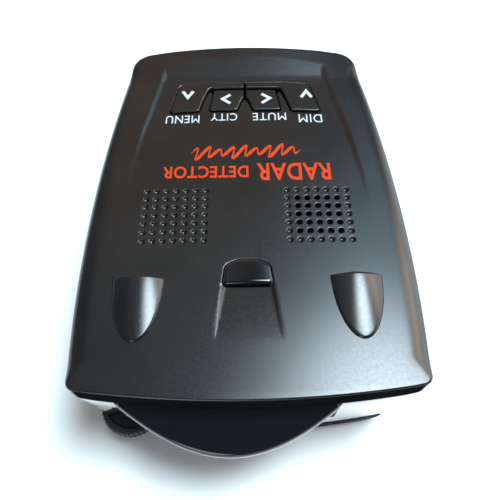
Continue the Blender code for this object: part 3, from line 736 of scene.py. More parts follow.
def upper_top(shape, outline):
    """The deck, rolled edges, blisters, ramp, openings and dimples. Returns its open edges."""
    plan = Plan(deck_height)
    share = roll_share(np.array(outline)[:, 1])
    rear = ease(*ROLL_REAR_FROM, np.array(outline)[:, 1])
    width = ROLL_FRONT + (ROLL_SIDE - ROLL_FRONT) * share
    fall = ROLL_FRONT + (ROLL_DROP - ROLL_FRONT) * share
    width += (ROLL_REAR - width) * rear
    fall += (ROLL_REAR - fall) * rear
    rings = []
    for angle in np.radians(np.linspace(90.0, 0.0, ROLL_STEPS)):
        line = offset(outline, -width * (1 - math.sin(angle)))
        rings.append(plan.add(line, drop=fall * (1 - math.cos(angle))))
    inner = [plan.places[i] for i in rings[-1]]
    opening = opening_outline()
    sensor = offset(sensor_outline(), SENSOR_GAP)
    holes = []
    edges = []
    for hole, rim in ((opening, OPENING_RIM), (sensor, SENSOR_RIM)):
        plan.add(offset(hole, rim + GUARD))
        plan.add(offset(hole, rim))
        plan.add(offset(hole, rim * 0.35), drop=rim * 0.3)
        edges.append(plan.add(hole, drop=rim))
        holes.append(hole)
    for (x, y), open_hole in grille_places():
        plan.add(circle(x, y, HOLE_R + HOLE_RIM + GUARD, 16))
        plan.add(circle(x, y, HOLE_R + HOLE_RIM, 16))
        plan.add(circle(x, y, HOLE_R + HOLE_RIM * 0.3, 16), drop=HOLE_RIM * 0.35)
        rim = circle(x, y, HOLE_R, 16)
        ids = plan.add(rim, drop=HOLE_RIM)
        if open_hole:
            edges.append(ids)
            holes.append(rim)
        else:
            for out in DIMPLE_STEPS:
                bowl = HOLE_RIM + (DIMPLE_DEPTH - HOLE_RIM) * (1.0 - out ** 2)
                plan.add(circle(x, y, HOLE_R * out, 16), drop=bowl)
            plan.add([(x, y)], drop=DIMPLE_DEPTH, closed=False)
    for side in (-1, 1):
        for inset, up in BLISTER_STEPS:
            line = blister_outline(side, inset)
            x, y = np.array(line).T
            plan.add(line, drop=blister_rise(x, y) - up * blister_body(x, y))
    for line in channel_lines():
        plan.add(line, closed=False)
    rims = [offset(hole, OPENING_RIM + 2 * GUARD) for hole in holes]

    def allowed(x, y):
        return within(x, y, inner, rims) & ~on_channel_wall(x, y)

    plan.scatter(FINE_STEP, lambda x, y: near_features(x, y) & allowed(x, y))
    plan.scatter(COARSE_STEP, lambda x, y: ~near_features(x, y) & allowed(x, y))
    place = shape.cover(plan, outline, holes)
    return place(rings[0]), [place(ids) for ids in edges], holes


def upper_under(shape, outline, holes):
    """The underside with its four screw posts. Returns its outer edge and hole edges."""
    def under(x, y):
        return deck_height(x, y) - blister_rise(x, y) - SHELL_T

    plan = Plan(under)
    outer = plan.add(outline)
    edges = [plan.add(hole) for hole in holes]
    for x, y in SCREWS:
        for radius, level in POST_PROFILE:
            plan.add(circle(x, y, radius, 24), level=level)
    blocked = [offset(hole, 0.5) for hole in holes] + [circle(x, y, POST_CLEAR, 24) for x, y in SCREWS]

    plan.scatter(UNDER_STEP, lambda x, y: within(x, y, offset(outline, -0.6), blocked))
    place = shape.cover(plan, outline, holes)
    return place(outer), [place(ids) for ids in edges]


def make_upper_shell(look):
    """The top shell: deck, rolled edges, walls, underside and posts as one closed body."""
    outline = case_outline()
    shape = Shape()
    edge, rims, holes = upper_top(shape, outline)
    wall = [shape.ring(outline, [shape.points[i][2] - WALL_TOP_STEP for i in edge])]
    for inset, up in WALL_STEPS:
        wall.append(shape.ring(offset(outline, -inset), RIM_Z + up))
    inner = offset(outline, -SHELL_WALL)
    wall.append(shape.ring(inner, RIM_Z))
    for low, high in zip([edge] + wall, wall):
        shape.band(low, high)
    under, lower_rims = upper_under(shape, inner, holes)
    shape.band(wall[-1], under)
    for low, high in zip(lower_rims, rims):
        shape.band(low, high)
    obj = shape.thing("upper_shell")
    finish_piece(obj, "casing", look, ("upper_case",), 50.0)


# Buttons, sensor window


def cap_mesh(name, outline, height, edge, low, step, stem=None):
    """A closed cap: a top that follows height, rounded edges, straight sides and, if given, a stem."""
    shape = Shape()
    plan = Plan(height)
    rings = [plan.add(offset(outline, -inset), drop=drop) for inset, drop in edge]
    core = [plan.places[i] for i in rings[-1]]
    plan.scatter(step, lambda x, y: inside(x, y, core))
    rim = shape.cover(plan, outline)(rings[0])
    under = Plan(lambda x, y: np.full(len(x), low))
    foot = under.add(outline)
    if stem:
        under.add(circle(*stem, STEM_R + 0.2, 32))
        under.add(circle(*stem, STEM_R, 32), level=STEM_LOW + 0.2)
        under.add(circle(*stem, STEM_R - 0.2, 32), level=STEM_LOW)
    shape.band(shape.cover(under, outline)(foot), rim)
    return shape.thing(name)


def button_height(x, y):
    """Height of the caps' upper faces."""
    return deck_height(x, y) + BUTTON_PROUD


def make_buttons(look):
    """The four caps, each standing for its CAD button."""
    outer = half_outline(OUTER_BUTTON, OUTER_RADII, BUTTON_GAP)
    inner = half_outline(INNER_BUTTON, INNER_RADII, BUTTON_GAP)
    outlines = {"menu": mirrored(outer), "city": mirrored(inner), "mute": inner, "dim": outer}
    for name, outline in outlines.items():
        cap = cap_mesh("cap_" + name, outline, button_height, CAP_EDGE, CAP_LOW, 0.7, STEMS[name])
        finish_piece(cap, "button_" + name, look, ("button_" + name,), 60.0)


def make_sensor_window(look):
    """The small polished window, with softly rounded upper edges."""
    def height(x, y):
        return np.full(len(x), SENSOR_TOP) - SENSOR_BOW * x ** 2

    cap = cap_mesh("sensor_window", sensor_outline(), height, SENSOR_EDGE, SENSOR_LOW, 0.7)
    finish_piece(cap, "casing", look, ("top_sensor_lens",), 60.0)


# Lower case, front panel, laser lens, display window


def lower_sections():
    """The lower case's wall, up its inside and down its outside, as (inset, level)."""
    inner = [(2.7, FLOOR_TOP), (2.25, FLOOR_TOP + 0.2), (SHELL_WALL, FLOOR_TOP + 0.8),
             (SHELL_WALL, LOWER_TOP)]
    outer = [(0.14, LOWER_TOP), (0.03, LOWER_TOP - 0.06), (0.0, LOWER_TOP - 0.2)]
    outer += [(0.0, level) for level in (18.0, 12.5, 7.5, BOTTOM_Z + FOOT_ROUND)]
    for angle in np.radians(np.linspace(15.0, 90.0, 6)):
        outer.append((FOOT_ROUND * (1 - math.cos(angle)), BOTTOM_Z + FOOT_ROUND * (1 - math.sin(angle))))
    return inner + outer


def front_band(outward, inward, half):
    """A strip along the swept front, between two distances behind its edge."""
    xs = spread(-half, half, 81)
    return [(x, front_arc(x) + outward) for x in xs] + [(x, front_arc(x) + inward) for x in reversed(xs)]


def rear_band(outward, inward, half):
    """A strip along the bowed rear, between two distances inside its edge."""
    xs = spread(-half, half, 41)
    return [(x, rear_arc(x) - inward) for x in xs] + [(x, rear_arc(x) - outward) for x in reversed(xs)]


def wheel_pocket():
    """The round slot that the volume wheel turns in."""
    return rod(WHEEL_R + 2 * GAP, (*WHEEL, WHEEL_LOW - GAP), (*WHEEL, WHEEL_TOP + GAP), 96)


def make_lower_shell(look):
    """The deep bottom shell with its panel, window, wheel and socket openings and screw posts."""
    outline = case_outline(1.0)
    shape = Shape()
    shape.stack([(drafted(offset(outline, -inset), level), level) for inset, level in lower_sections()])
    obj = shape.thing("lower_shell")
    posts = Shape()
    bores = Shape()
    for x, y in SCREWS:
        posts.stack(turned(x, y, PILLAR, 40))
        bores.stack(turned(x, y, SCREW_BORE, 40))
    carve(obj, posts.thing("posts"), operation="UNION")
    openings = Shape()
    panel = front_band(-OVERSHOOT - 1.0, PANEL_T + 3 * GAP, 2 * HALF_WIDTH)
    openings.stack([(panel, PANEL_LOW - GAP), (panel, RIM_Z + 1.0)])
    window = rear_band(-OVERSHOOT, WINDOW_T + 2.0, WINDOW_HALF + GAP)
    openings.stack(drafted_stack(window, (WINDOW_LOW - GAP, WINDOW_HIGH + GAP)))
    jack = rod(JACK_R, *((x, *JACK) for x in JACK_BORE_X))
    carve(obj, bores.thing("bores"), openings.thing("openings"), wheel_pocket(), jack)
    soften(obj, 0.12, 2, 50.0)
    finish_piece(obj, "casing", look, ("lower_case",), 32.0)


def make_front_panel(look):
    """The polished front panel: a curved skin with openings for the laser lens and the wheel."""
    outline = offset(case_outline(0.8), -0.1)
    shape = Shape()
    shape.stack(drafted_stack(outline, spread(PANEL_LOW, PANEL_HIGH, 5)))
    obj = shape.thing("front_skin")
    behind = prism(front_band(PANEL_T, 3 * HALF_WIDTH, 2 * HALF_WIDTH), 0.0, DECK_Z)
    left, right = LENS_ENDS[0] - GAP, LENS_ENDS[1] + GAP
    near, far = LENS_ROOM_Y
    hole = [(left, near), (right, near), (right, far), (left, far)]
    room = prism(hole, LENS_LOW - GAP, LENS_HIGH + 1.0)
    carve(obj, behind, room, wheel_pocket())
    soften(obj, 0.18, 3, 40.0)
    finish_piece(obj, "casing", look, ("front_panel",), 30.0)


def lens_outline(inset):
    """The bulging lens's plan, its front and flanks pulled in by inset."""
    xs = spread(LENS_ENDS[0] + inset, LENS_ENDS[1] - inset, 121)
    bulge = [LENS_FLANK * (math.hypot(x - LENS_X, LENS_NOSE_R) - LENS_NOSE_R) for x in xs]
    front = [(x, LENS_NOSE_Y + LENS_SET + inset + back) for x, back in zip(xs, bulge)]
    back = [(x, LENS_BACK_Y) for x in reversed(spread(xs[0], xs[-1], 21))]
    return front + back


def make_laser_lens(look):
    """The bulging smoked lens: top shelf sloping forwards, rounded rim, undercut front, hollow behind."""
    shape = Shape()
    full = LENS_HIGH - LENS_LOW
    sections = []
    for inset, up in LENS_PROFILE:
        outline = lens_outline(inset)
        drop = LENS_TILT * (LENS_BACK_Y - np.array(outline)[:, 1])
        sections.append((outline, LENS_LOW + up * (1.0 - drop / full)))
    shape.stack(sections)
    obj = shape.thing("laser_window")
    core = [(x, y + LENS_WALL) for x, y in lens_outline(LENS_CORE_INSET)]
    carve(obj, prism(core, LENS_LOW + LENS_WALL, LENS_HIGH - LENS_CORE_DROP))
    finish_piece(obj, "casing", look, ("laser_lens",), 40.0)


def make_display_glass(look):
    """The tinted window across the rear."""
    band = rear_band(GAP, WINDOW_T, WINDOW_HALF)
    shape = Shape()
    shape.stack(drafted_stack(band, spread(WINDOW_LOW, WINDOW_HIGH, 4)))
    obj = shape.thing("display_glass")
    soften(obj, 0.25, 3, 40.0)
    finish_piece(obj, "casing", look, ("display_window",), 30.0)


# Wheel and underside


def knurl(radius, depth, count=8):
    """A round outline with rounded grip ridges."""
    steps = WHEEL_TEETH * count
    made = []
    for i in range(steps):
        turn = 2 * math.pi * i / steps
        reach = radius - depth * abs(math.sin(turn * WHEEL_TEETH / 2)) ** RIDGE_POWER
        made.append((WHEEL[0] + reach * math.cos(turn), WHEEL[1] + reach * math.sin(turn)))
    return made


def make_wheel(look):
    """The knurled thumbwheel: dished faces, grip ridges and a stub shaft."""
    steps = [(radius, share, WHEEL_LOW + up) for radius, share, up in WHEEL_BELOW]
    steps += [(radius, share, WHEEL_TOP + up) for radius, share, up in WHEEL_ABOVE]
    steps.append((SHAFT_R, 0.0, SHAFT_TOP))
    shape = Shape()
    shape.stack([(knurl(radius, RIDGE * share), level) for radius, share, level in steps])
    obj = shape.thing("thumbwheel")
    finish_piece(obj, "volume_wheel", look, ("volume_wheel",), 35.0)


def make_feet(look):
    """Four moulded rubber feet with a ring groove in each sole."""
    for number in range(1, 5):
        node = f"foot_{number}"
        middle = sum(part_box(node), Vector()) / 2 / MM
        shape = Shape()
        shape.stack(turned(middle.x, middle.y, FOOT_PROFILE, 64))
        obj = thing(f"rubber_{node}", shape.mesh(node))
        finish_piece(obj, "casing", look, (node,), 40.0)


def make_loop_pad(look):
    """The hook-and-loop pad, its face a nap of small tufts."""
    low, high = box_mm("hook_loop_pad")
    corners = [(low.x, low.y), (high.x, low.y), (high.x, high.y), (low.x, high.y)]
    outline = resampled(rounded(corners, [1.0] * 4), 0.5)
    nap = np.random.RandomState(NAP_SEED).uniform(0.0, NAP_HIGH, NAP_POINTS)

    def face(x, y):
        return low.z + nap[:len(x)]

    shape = Shape()
    plan = Plan(face)
    edge = plan.add(outline, level=low.z + 0.25)
    plan.scatter(NAP_STEP, lambda x, y: inside(x, y, offset(outline, -0.2)))
    rim = shape.cover(plan, outline)(edge)
    back = shape.ring(outline, high.z)
    shape.band(rim, back)
    shape.faces.append(tuple(back))
    obj = shape.thing("loop_pad")
    finish_piece(obj, "casing", look, ("hook_loop_pad",), 80.0)


# Printed marks


def chevron(tip, first, second):
    """The outline of a chevron's two strokes, from its outer tip and the middles of its ends."""
    tip, first, second = Vector(tip), Vector(first), Vector(second)
    tip += ((first + second) / 2 - tip).normalized() * STROKE
    u, v = (first - tip).normalized(), (second - tip).normalized()
    middle = (u + v).normalized()
    half = u.angle(v) / 2
    corner = middle * (STROKE / 2 / math.sin(half))
    side_u = Vector((u.y, -u.x))
    side_v = Vector((v.y, -v.x))
    side_u *= -math.copysign(STROKE / 2, side_u.dot(v))
    side_v *= -math.copysign(STROKE / 2, side_v.dot(u))
    points = [tip - corner, first + side_u, first - side_u, tip + corner, second - side_v, second + side_v]
    points = [tuple(p) for p in points]
    area = sum(a[0] * b[1] - a[1] * b[0] for a, b in zip(points, points[1:] + points[:1]))
    return points if area > 0 else points[::-1]


def printed(name, outline, height, body, look):
    """A thin closed layer of ink that follows the surface below it."""
    shape = Shape()
    rims = []
    for drop in (INK_T, -INK_T):
        plan = Plan(height)
        ids = plan.add(outline, drop=drop)
        rims.append(shape.cover(plan, outline)(ids))
    shape.band(*rims)
    finish_piece(shape.thing(name), body, look, (), 60.0)


def lettered(name, words, low, high, look, weight=0.0):
    """A printed word between two corners, read from the driver's side."""
    curve = bpy.data.curves.new(name, "FONT")
    curve.body = words
    curve.extrude = 0.05
    curve.offset = weight
    curve.resolution_u = 5
    curve.space_character = LETTER_GAP
    holder = thing(name + "_text", curve)
    graph = bpy.context.evaluated_depsgraph_get()
    mesh = bpy.data.meshes.new_from_object(holder.evaluated_get(graph))
    bpy.data.objects.remove(holder)
    bm = bmesh.new()
    bm.from_mesh(mesh)
    bmesh.ops.remove_doubles(bm, verts=bm.verts, dist=1e-5)
    bmesh.ops.triangulate(bm, faces=bm.faces)
    spots = np.array([v.co for v in bm.verts])
    share = (spots[:, :2] - spots[:, :2].min(0)) / np.ptp(spots[:, :2], axis=0)
    places = np.array(high) - share * (np.array(high) - np.array(low))
    levels = deck_height(places[:, 0], places[:, 1]) + np.where(spots[:, 2] > 0, INK_T, -INK_T)
    for vert, place, level in zip(bm.verts, places, levels):
        vert.co = Vector((*place, level)) * MM
    bmesh.ops.recalc_face_normals(bm, faces=bm.faces)
    bm.to_mesh(mesh)
    bm.free()
    mesh.name = name
    finish_piece(thing(name, mesh), "casing", look, (), 60.0)


def trace_outline():
    """A ribbon like a slanted received-signal trace, thick on its upstrokes and thin on its downstrokes."""
    steps = 60 * TRACE_WAVES
    share = np.linspace(0.0, 1.0, steps)
    phase = share * TRACE_WAVES * 2 * math.pi
    swell = 0.45 + 0.55 * np.sin(share * math.pi * 3.0 + 0.6) ** 2
    rise = np.sin(phase) * swell * TRACE_HIGH
    x = TRACE_X[0] + (TRACE_X[1] - TRACE_X[0]) * share + TRACE_SLANT * rise * 0.5
    y = TRACE_Y + rise + 0.9 * (share - 0.5)
    thick = 0.26 + 0.14 * np.cos(phase)
    thick = thick * ease(0.0, 0.03, share) * ease(0.0, 0.03, 1.0 - share) + 0.05
    ahead = np.stack([np.gradient(x), np.gradient(y)], 1)
    ahead /= np.linalg.norm(ahead, axis=1)[:, None]
    side = np.stack([ahead[:, 1], -ahead[:, 0]], 1) * thick[:, None]
    line = np.stack([x, y], 1)
    return [tuple(p) for p in line + side] + [tuple(p) for p in (line - side)[::-1]]


def make_marks(white, orange):
    """Chevrons on the caps, words below them, and the orange title and trace."""
    for name, points in CHEVRONS.items():
        printed("chevron_" + name, chevron(*points), button_height, "button_" + name, white)
    for name, (words, low, high) in LABELS.items():
        lettered("label_" + name, words, low, high, white)
    for name, (words, low, high) in TITLE.items():
        lettered(name, words, low, high, orange, TITLE_WEIGHT)
    printed("signal_trace", trace_outline(), deck_height, "casing", orange)


# Materials


def connect(tree, socket, value):
    """Links a socket to another node's output, or sets its value."""
    if isinstance(value, bpy.types.NodeSocket):
        tree.links.new(value, socket)
    elif socket.type == "RGBA":
        socket.default_value = (*value, 1.0)
    else:
        socket.default_value = value


def add_node(tree, kind, inputs=None, **settings):
    """Adds a node. An input is a value or another node's output."""
    node = tree.nodes.new(kind)
    for key, value in settings.items():
        setattr(node, key, value)
    for key, value in (inputs or {}).items():
        connect(tree, node.inputs[key], value)
    return node


class Look:
    """A Principled material with helpers for its node tree."""

    def __init__(self, name):
        self.material = bpy.data.materials.new(name)
        self.material.use_nodes = True
        self.tree = self.material.node_tree
        self.shader = self.tree.nodes["Principled BSDF"]
        self.place = self.add("ShaderNodeTexCoord").outputs["Object"]

    def add(self, kind, inputs=None, **settings):
        """Adds a node to the material."""
        return add_node(self.tree, kind, inputs, **settings)

    def noise(self, size, detail=2.0, roughness=0.5, place=None):
        """Noise with features of a size in millimetres."""
        node = self.add("ShaderNodeTexNoise", {"Vector": place or self.place, "Scale": 1.0 / (size * MM),
                                               "Detail": detail, "Roughness": roughness})
        return node.outputs[0]

    def cells(self, size, feature="F1"):
        """Distance to the nearest of scattered points, size millimetres apart."""
        node = self.add("ShaderNodeTexVoronoi", {"Vector": self.place, "Scale": 1.0 / (size * MM)},
                        feature=feature)
        return node.outputs["Distance"]

    def remap(self, value, low, high, out_low, out_high):
        """A value stretched from one range to another."""
        node = self.add("ShaderNodeMapRange", {"Value": value, "From Min": low, "From Max": high,
                                               "To Min": out_low, "To Max": out_high})
        return node.outputs[0]

    def uneven(self, grain, reach, low, high):
        """A patchy value from low to high, from noise made with grain and read over its reach."""
        return self.remap(self.noise(*grain), *reach, low, high)

    def math(self, operation, a, b):
        """Two values put together by a named operation."""
        return self.add("ShaderNodeMath", {0: a, 1: b}, operation=operation).outputs[0]

    def mix(self, share, a, b):
        """One colour mixed into another."""
        return self.add("ShaderNodeMix", {0: share, 6: a, 7: b}, data_type="RGBA").outputs[2]

    def worn(self, color, edge_color, amount, size=0.8):
        """The colour with its exposed edges rubbed towards another."""
        edge = self.add("ShaderNodeNewGeometry").outputs["Pointiness"]
        sharp = self.remap(edge, 0.52, 0.62, 0.0, 1.0)
        patch = self.remap(self.noise(size, 4.0), 0.40, 0.65, 0.0, amount)
        return self.mix(self.math("MULTIPLY", sharp, patch), color, edge_color)

    def set(self, **values):
        """Links or sets the shader's inputs, with _ for a space."""
        for key, value in values.items():
            connect(self.tree, self.shader.inputs[key.replace("_", " ")], value)

    def bump(self, height, depth, strength=1.0, under=None):
        """Relief of a depth in millimetres. Its output is a normal."""
        inputs = {"Height": height, "Distance": depth * MM, "Strength": strength}
        if under is not None:
            inputs["Normal"] = under
        return self.add("ShaderNodeBump", inputs).outputs[0]


def tinted(color, factor):
    """A colour made lighter or darker."""
    return tuple(min(1.0, c * factor) for c in color)


def plain_look(name, color, roughness, metallic=0.0, grain=0.5, depth=0.01, mottle=6.0, spread_by=0.15,
               wear=0.3, ior=1.5):
    """A moulded, cast or painted surface: mottled colour, uneven polish, fine grain and worn edges."""
    look = Look(name)
    patch = look.uneven((mottle, 4.0), (0.3, 0.7), 0.0, 1.0)
    base = look.mix(patch, tinted(color, 1.0 - spread_by), tinted(color, 1.0 + spread_by))
    base = look.worn(base, tinted(color, 1.9), wear)
    fine = look.noise(grain, 3.0, 0.6)
    polish = look.uneven((mottle / 3, 3.0), (0.3, 0.7), roughness * 0.85, min(1.0, roughness * 1.2))
    look.set(Base_Color=base, Roughness=polish, Metallic=metallic, IOR=ior, Normal=look.bump(fine, depth))
    return look.material


def case_look():
    """Satin black plastic with a fine wrinkled spark grain, and painted shade on faces that point forward,
    which get no specular reflection.
    """
    look = Look("case_satin_black")
    patch = look.uneven((14.0, 3.0), (0.35, 0.65), 0.0, 1.0)
    base = look.mix(patch, (0.006, 0.0063, 0.0066), (0.009, 0.0094, 0.0098))
    base = look.worn(base, (0.040, 0.042, 0.045), 0.4)
    wrinkle = look.cells(0.24, "SMOOTH_F1")
    sparks = look.noise(0.13, 3.0, 0.65)
    relief = look.math("ADD", look.math("MULTIPLY", wrinkle, 0.6), look.math("MULTIPLY", sparks, 0.8))
    polish = look.uneven((0.5, 2.0), (0.3, 0.7), 0.20, 0.26)
    # Painted shade: faces that point forward, such as the front lip, get no specular reflection, so they stay
    # dark whatever they face.
    normal = look.add("ShaderNodeNewGeometry").outputs["Normal"]
    forward = look.add("ShaderNodeSeparateXYZ", {"Vector": normal}).outputs["Y"]
    sheen_with_painted_front_shade = look.remap(forward, -0.95, -0.80, 0.0, 0.52)
    look.set(Base_Color=base, Roughness=polish, IOR=1.52, Specular_IOR_Level=sheen_with_painted_front_shade,
             Normal=look.bump(relief, 0.0075, 1.0))
    return look.material


def gloss_look(name, mirror):
    """Polished smoked black, with faint ripple, dust and scratches. At low angles it turns towards a white
    mirror: a real mirror through its metal share, and a painted reflection where the white goes into its
    diffuse colour.
    """
    look = Look(name)
    dust = look.uneven((0.25, 2.0, 0.7), (0.70, 0.78), 0.0, 1.0)
    base = look.mix(look.math("MULTIPLY", dust, 0.35), (0.0035, 0.0040, 0.0055), (0.05, 0.05, 0.05))
    haze = look.uneven((7.0, 4.0), (0.35, 0.7), 0.035, 0.075)
    ripple = look.bump(look.noise(9.0, 1.0), 0.02, 0.5)
    stretch = look.add("ShaderNodeMapping", {"Vector": look.place, "Scale": (1.0, 14.0, 14.0),
                                             "Rotation": (0.0, 0.0, 0.5)}).outputs[0]
    scratch = look.uneven((2.5, 2.0, 0.7, stretch), (0.60, 0.66), 0.0, 1.0)
    # Painted reflection: towards low angles the colour is mixed with near-white. This is partly a real mirror
    # through Metallic and partly painted brightness in the diffuse colour.
    facing = look.add("ShaderNodeLayerWeight", {"Blend": 0.5}).outputs["Facing"]
    glance_mirror_and_painted_reflection = look.remap(facing, 0.55, 0.80, 0.0, mirror)
    base = look.mix(glance_mirror_and_painted_reflection, base, (0.90, 0.90, 0.91))
    look.set(Base_Color=base, Metallic=glance_mirror_and_painted_reflection, Roughness=haze, IOR=1.55,
             Normal=look.bump(scratch, 0.0006, 0.4, ripple))
    return look.material


def rubber_look(name, color):
    """Dull rubber with patches of pale bloom."""
    look = Look(name)
    bloom = look.uneven((2.0, 5.0, 0.65), (0.45, 0.75), 0.0, 0.6)
    base = look.mix(bloom, color, tinted(color, 2.2))
    base = look.worn(base, tinted(color, 2.8), 0.4, 0.5)
    look.set(Base_Color=base, Roughness=look.uneven((0.7, 3.0), (0.3, 0.7), 0.5, 0.75),
             Normal=look.bump(look.noise(0.12, 3.0, 0.7), 0.015))
    return look.material


def board_look():
    """Green solder mask over copper tracks, with pale legends of plain dots."""
    look = Look("board_green")
    mask = {"Color1": (0.010, 0.085, 0.030), "Color2": (0.014, 0.110, 0.040), "Mortar": (0.030, 0.190, 0.065)}
    laid = {"Vector": look.place, "Scale": 420.0, "Mortar Size": 0.014}
    brick = look.add("ShaderNodeTexBrick", {**laid, **mask})
    pads = look.remap(look.cells(2.4), 0.12, 0.16, 1.0, 0.0)
    base = look.mix(pads, brick.outputs["Color"], (0.55, 0.53, 0.48))
    look.set(Base_Color=base, Roughness=look.uneven((3.0,), (0.3, 0.7), 0.25, 0.45), Metallic=pads,
             Normal=look.bump(brick.outputs["Fac"], 0.03))
    return look.material


def cloth_look(name, color, thread):
    """A woven or felted surface."""
    look = Look(name)
    weave = look.cells(thread)
    tone = look.uneven((thread * 1.5, 3.0), (0.3, 0.7), 0.0, 1.0)
    base = look.mix(tone, tinted(color, 0.6), tinted(color, 1.5))
    look.set(Base_Color=base, Roughness=0.95, Normal=look.bump(weave, thread * 0.4), Sheen_Weight=0.4)
    return look.material


def clear_look():
    """Clear moulded plastic with a faint flow ripple."""
    look = Look("clear_plastic")
    base = look.mix(look.noise(1.5, 3.0), (0.86, 0.90, 0.92), (0.95, 0.97, 0.98))
    look.set(Base_Color=base, Roughness=look.uneven((1.0,), (0.3, 0.7), 0.03, 0.10), IOR=1.49,
             Normal=look.bump(look.noise(1.2, 1.0), 0.01), Transmission_Weight=0.85)
    return look.material


def ink_look(name, color, roughness):
    """Screen-printed ink: slightly uneven cover over the grain."""
    look = Look(name)
    thin = look.uneven((0.22, 3.0, 0.7), (0.25, 0.6), 0.0, 1.0)
    base = look.mix(thin, tinted(color, 0.72), color)
    polish = look.uneven((0.4,), (0.3, 0.7), roughness * 0.8, roughness * 1.2)
    relief = look.bump(look.noise(0.2, 3.0), 0.01)
    look.set(Base_Color=base, Roughness=polish, Specular_IOR_Level=0.2, Normal=relief)
    return look.material


def brushed_look(name, color, roughness, along=(1.0, 30.0, 30.0)):
    """Drawn or rolled metal with fine lines."""
    look = Look(name)
    lines = look.add("ShaderNodeMapping", {"Vector": look.place, "Scale": along}).outputs[0]
    streak = look.noise(3.0, 4.0, 0.6, lines)
    base = look.mix(streak, tinted(color, 0.75), tinted(color, 1.15))
    stain = look.uneven((5.0, 4.0), (0.55, 0.75), 0.0, 0.4)
    base = look.mix(stain, base, (0.30, 0.26, 0.20))
    polish = look.remap(streak, 0.3, 0.7, roughness * 0.8, roughness * 1.3)
    look.set(Base_Color=base, Metallic=1.0, Roughness=polish, Normal=look.bump(streak, 0.006))
    return look.material


def node_looks():
    """The look of each CAD node that stays as it is."""
    chip = plain_look("chip_epoxy", (0.020, 0.020, 0.022), 0.55, grain=0.15, depth=0.012, wear=0.2)
    tin = brushed_look("tin_plate", (0.66, 0.66, 0.64), 0.28)
    steel = brushed_look("steel", (0.48, 0.48, 0.50), 0.32)
    clear = clear_look()
    lead = {"red": (0.35, 0.02, 0.015), "black": (0.018, 0.018, 0.018)}
    ceramic = plain_look("fired_ceramic", (0.62, 0.56, 0.45), 0.6, grain=0.3, depth=0.02, wear=0.1)
    looks = {
        "main_board": board_look(),
        "horn_antenna": plain_look("die_cast", (0.56, 0.57, 0.58), 0.38, 1.0, grain=0.6, depth=0.03),
        "receiver_shield": tin, "satellite_receiver": tin, "socket_pin": tin, "speaker_magnet": tin,
        "smoothing_capacitor": brushed_look("capacitor_can", (0.60, 0.60, 0.62), 0.25, (30.0, 30.0, 1.0)),
        "volume_control": tin,
        "speaker_basket": steel,
        "speaker_cone": cloth_look("cone_paper", (0.035, 0.034, 0.032), 0.3),
        "speaker_gasket": cloth_look("gasket_felt", (0.080, 0.080, 0.085), 0.4),
        "speaker_lead_red": rubber_look("lead_red", lead["red"]),
        "speaker_lead_black": rubber_look("lead_black", lead["black"]),
        "satellite_antenna": ceramic,
        "light_pipe": clear, "laser_focus_lens": clear,
        "display_cable": plain_look("polyimide_film", (0.55, 0.30, 0.08), 0.35, grain=0.8, depth=0.006),
        "rating_plate": brushed_look("plate_foil", (0.62, 0.62, 0.60), 0.42),
        "power_socket": plain_look("socket_nylon", (0.022, 0.022, 0.024), 0.5, grain=0.2, depth=0.01),
        "display_module": plain_look("display_black", (0.015, 0.017, 0.022), 0.3, grain=0.4, depth=0.004),
    }
    plunger = plain_look("plunger_white", (0.70, 0.69, 0.66), 0.45, grain=0.3, depth=0.006, wear=0.0)
    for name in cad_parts:
        if name.startswith("case_screw"):
            looks[name] = steel
        elif name.startswith("plunger"):
            looks[name] = plunger
        else:
            looks.setdefault(name, chip)
    return looks


def dress_nodes():
    """Gives every CAD node that stays its look."""
    for name, look in node_looks().items():
        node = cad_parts[name]
        if node.hide_render:
            continue
        if not node.material_slots:
            node.data.materials.append(look)
        for slot in node.material_slots:
            slot.material = look


# Studio


def make_floor():
    """The pale floor."""
    look = Look("studio_floor")
    base = look.mix(look.noise(60.0, 3.0), (0.86, 0.86, 0.86), (0.88, 0.88, 0.88))
    look.set(Base_Color=base, Roughness=0.9)
    shape = Shape()
    half = FLOOR_HALF
    ids = shape.ring([(-half, -half), (half, -half), (half, half), (-half, half)], 0.0)
    shape.faces.append(tuple(ids))
    floor = shape.thing("studio_floor")
    floor.data.materials.append(look.material)


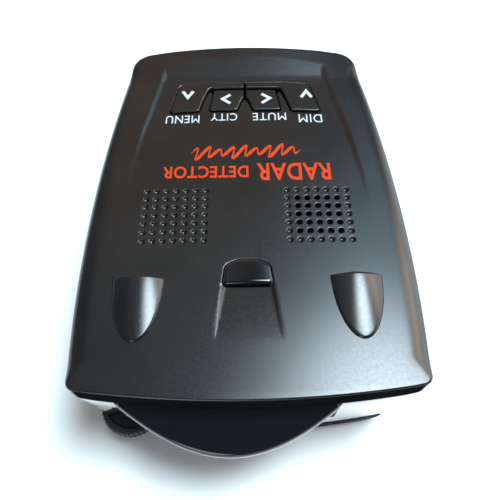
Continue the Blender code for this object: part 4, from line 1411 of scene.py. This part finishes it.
def make_world(lobes, low, high):
    """Soft light from all round: a base that rises from low to high, and round soft lobes.

    A lobe is (direction, inner radius, outer radius, colour, strength), with its radii in degrees.
    """
    world = bpy.data.worlds.new("studio_world")
    bpy.context.scene.world = world
    world.use_nodes = True
    tree = world.node_tree
    ray = add_node(tree, "ShaderNodeTexCoord").outputs["Generated"]
    height = add_node(tree, "ShaderNodeSeparateXYZ", {0: ray}).outputs["Z"]
    climb = add_node(tree, "ShaderNodeMapRange", {"Value": height, "From Min": -0.1, "From Max": 0.9})
    base = {0: climb.outputs[0], 6: low, 7: high}
    total = add_node(tree, "ShaderNodeMix", base, data_type="RGBA").outputs[2]
    for direction, inner, outer, color, strength in lobes:
        toward = add_node(tree, "ShaderNodeVectorMath", {0: ray, 1: Vector(direction).normalized()},
                          operation="DOT_PRODUCT").outputs["Value"]
        rim, core = (math.cos(math.radians(radius)) for radius in (outer, inner))
        fade = add_node(tree, "ShaderNodeMapRange", {"Value": toward, "From Min": rim, "From Max": core},
                        interpolation_type="SMOOTHSTEP").outputs[0]
        glow = [c * strength for c in color]
        total = add_node(tree, "ShaderNodeMix", {0: fade, 6: total, 7: glow}, data_type="RGBA",
                         blend_type="ADD", clamp_result=False).outputs[2]
    tree.links.new(total, tree.nodes["Background"].inputs["Color"])


def make_camera():
    """The camera, over the lens end and looking down at the deck."""
    data = bpy.data.cameras.new("camera")
    data.lens = CAMERA_LENS
    data.sensor_width = 36.0
    data.clip_start = 0.01
    data.clip_end = 20.0
    camera = thing("camera", data)
    right = Vector(CAMERA_RIGHT).normalized()
    up = Vector(CAMERA_UP).normalized()
    back = right.cross(up).normalized()
    turn = Matrix((right, up, back)).transposed().to_4x4()
    camera.matrix_world = Matrix.Translation(Vector(CAMERA_PLACE) * MM) @ turn
    bpy.context.scene.camera = camera
    bpy.context.scene.view_settings.view_transform = "Standard"


# Everything

CASE = case_look()
GLOSS = gloss_look("gloss_smoked_black", 0.45)
PANEL = gloss_look("gloss_panel_black", 1.0)
RUBBER = rubber_look("rubber_black", (0.016, 0.016, 0.017))
make_upper_shell(CASE)
make_lower_shell(CASE)
make_front_panel(PANEL)
make_laser_lens(GLOSS)
make_display_glass(GLOSS)
make_sensor_window(GLOSS)
make_buttons(CASE)
make_wheel(RUBBER)
make_feet(RUBBER)
make_loop_pad(cloth_look("loop_nap", (0.020, 0.020, 0.022), 0.25))
make_marks(ink_look("ink_white", (0.60, 0.65, 0.70), 0.5), ink_look("ink_orange", (0.62, 0.045, 0.002), 0.6))
dress_nodes()
make_floor()
make_world(LOBES, SKY_LOW, SKY_HIGH)
make_camera()
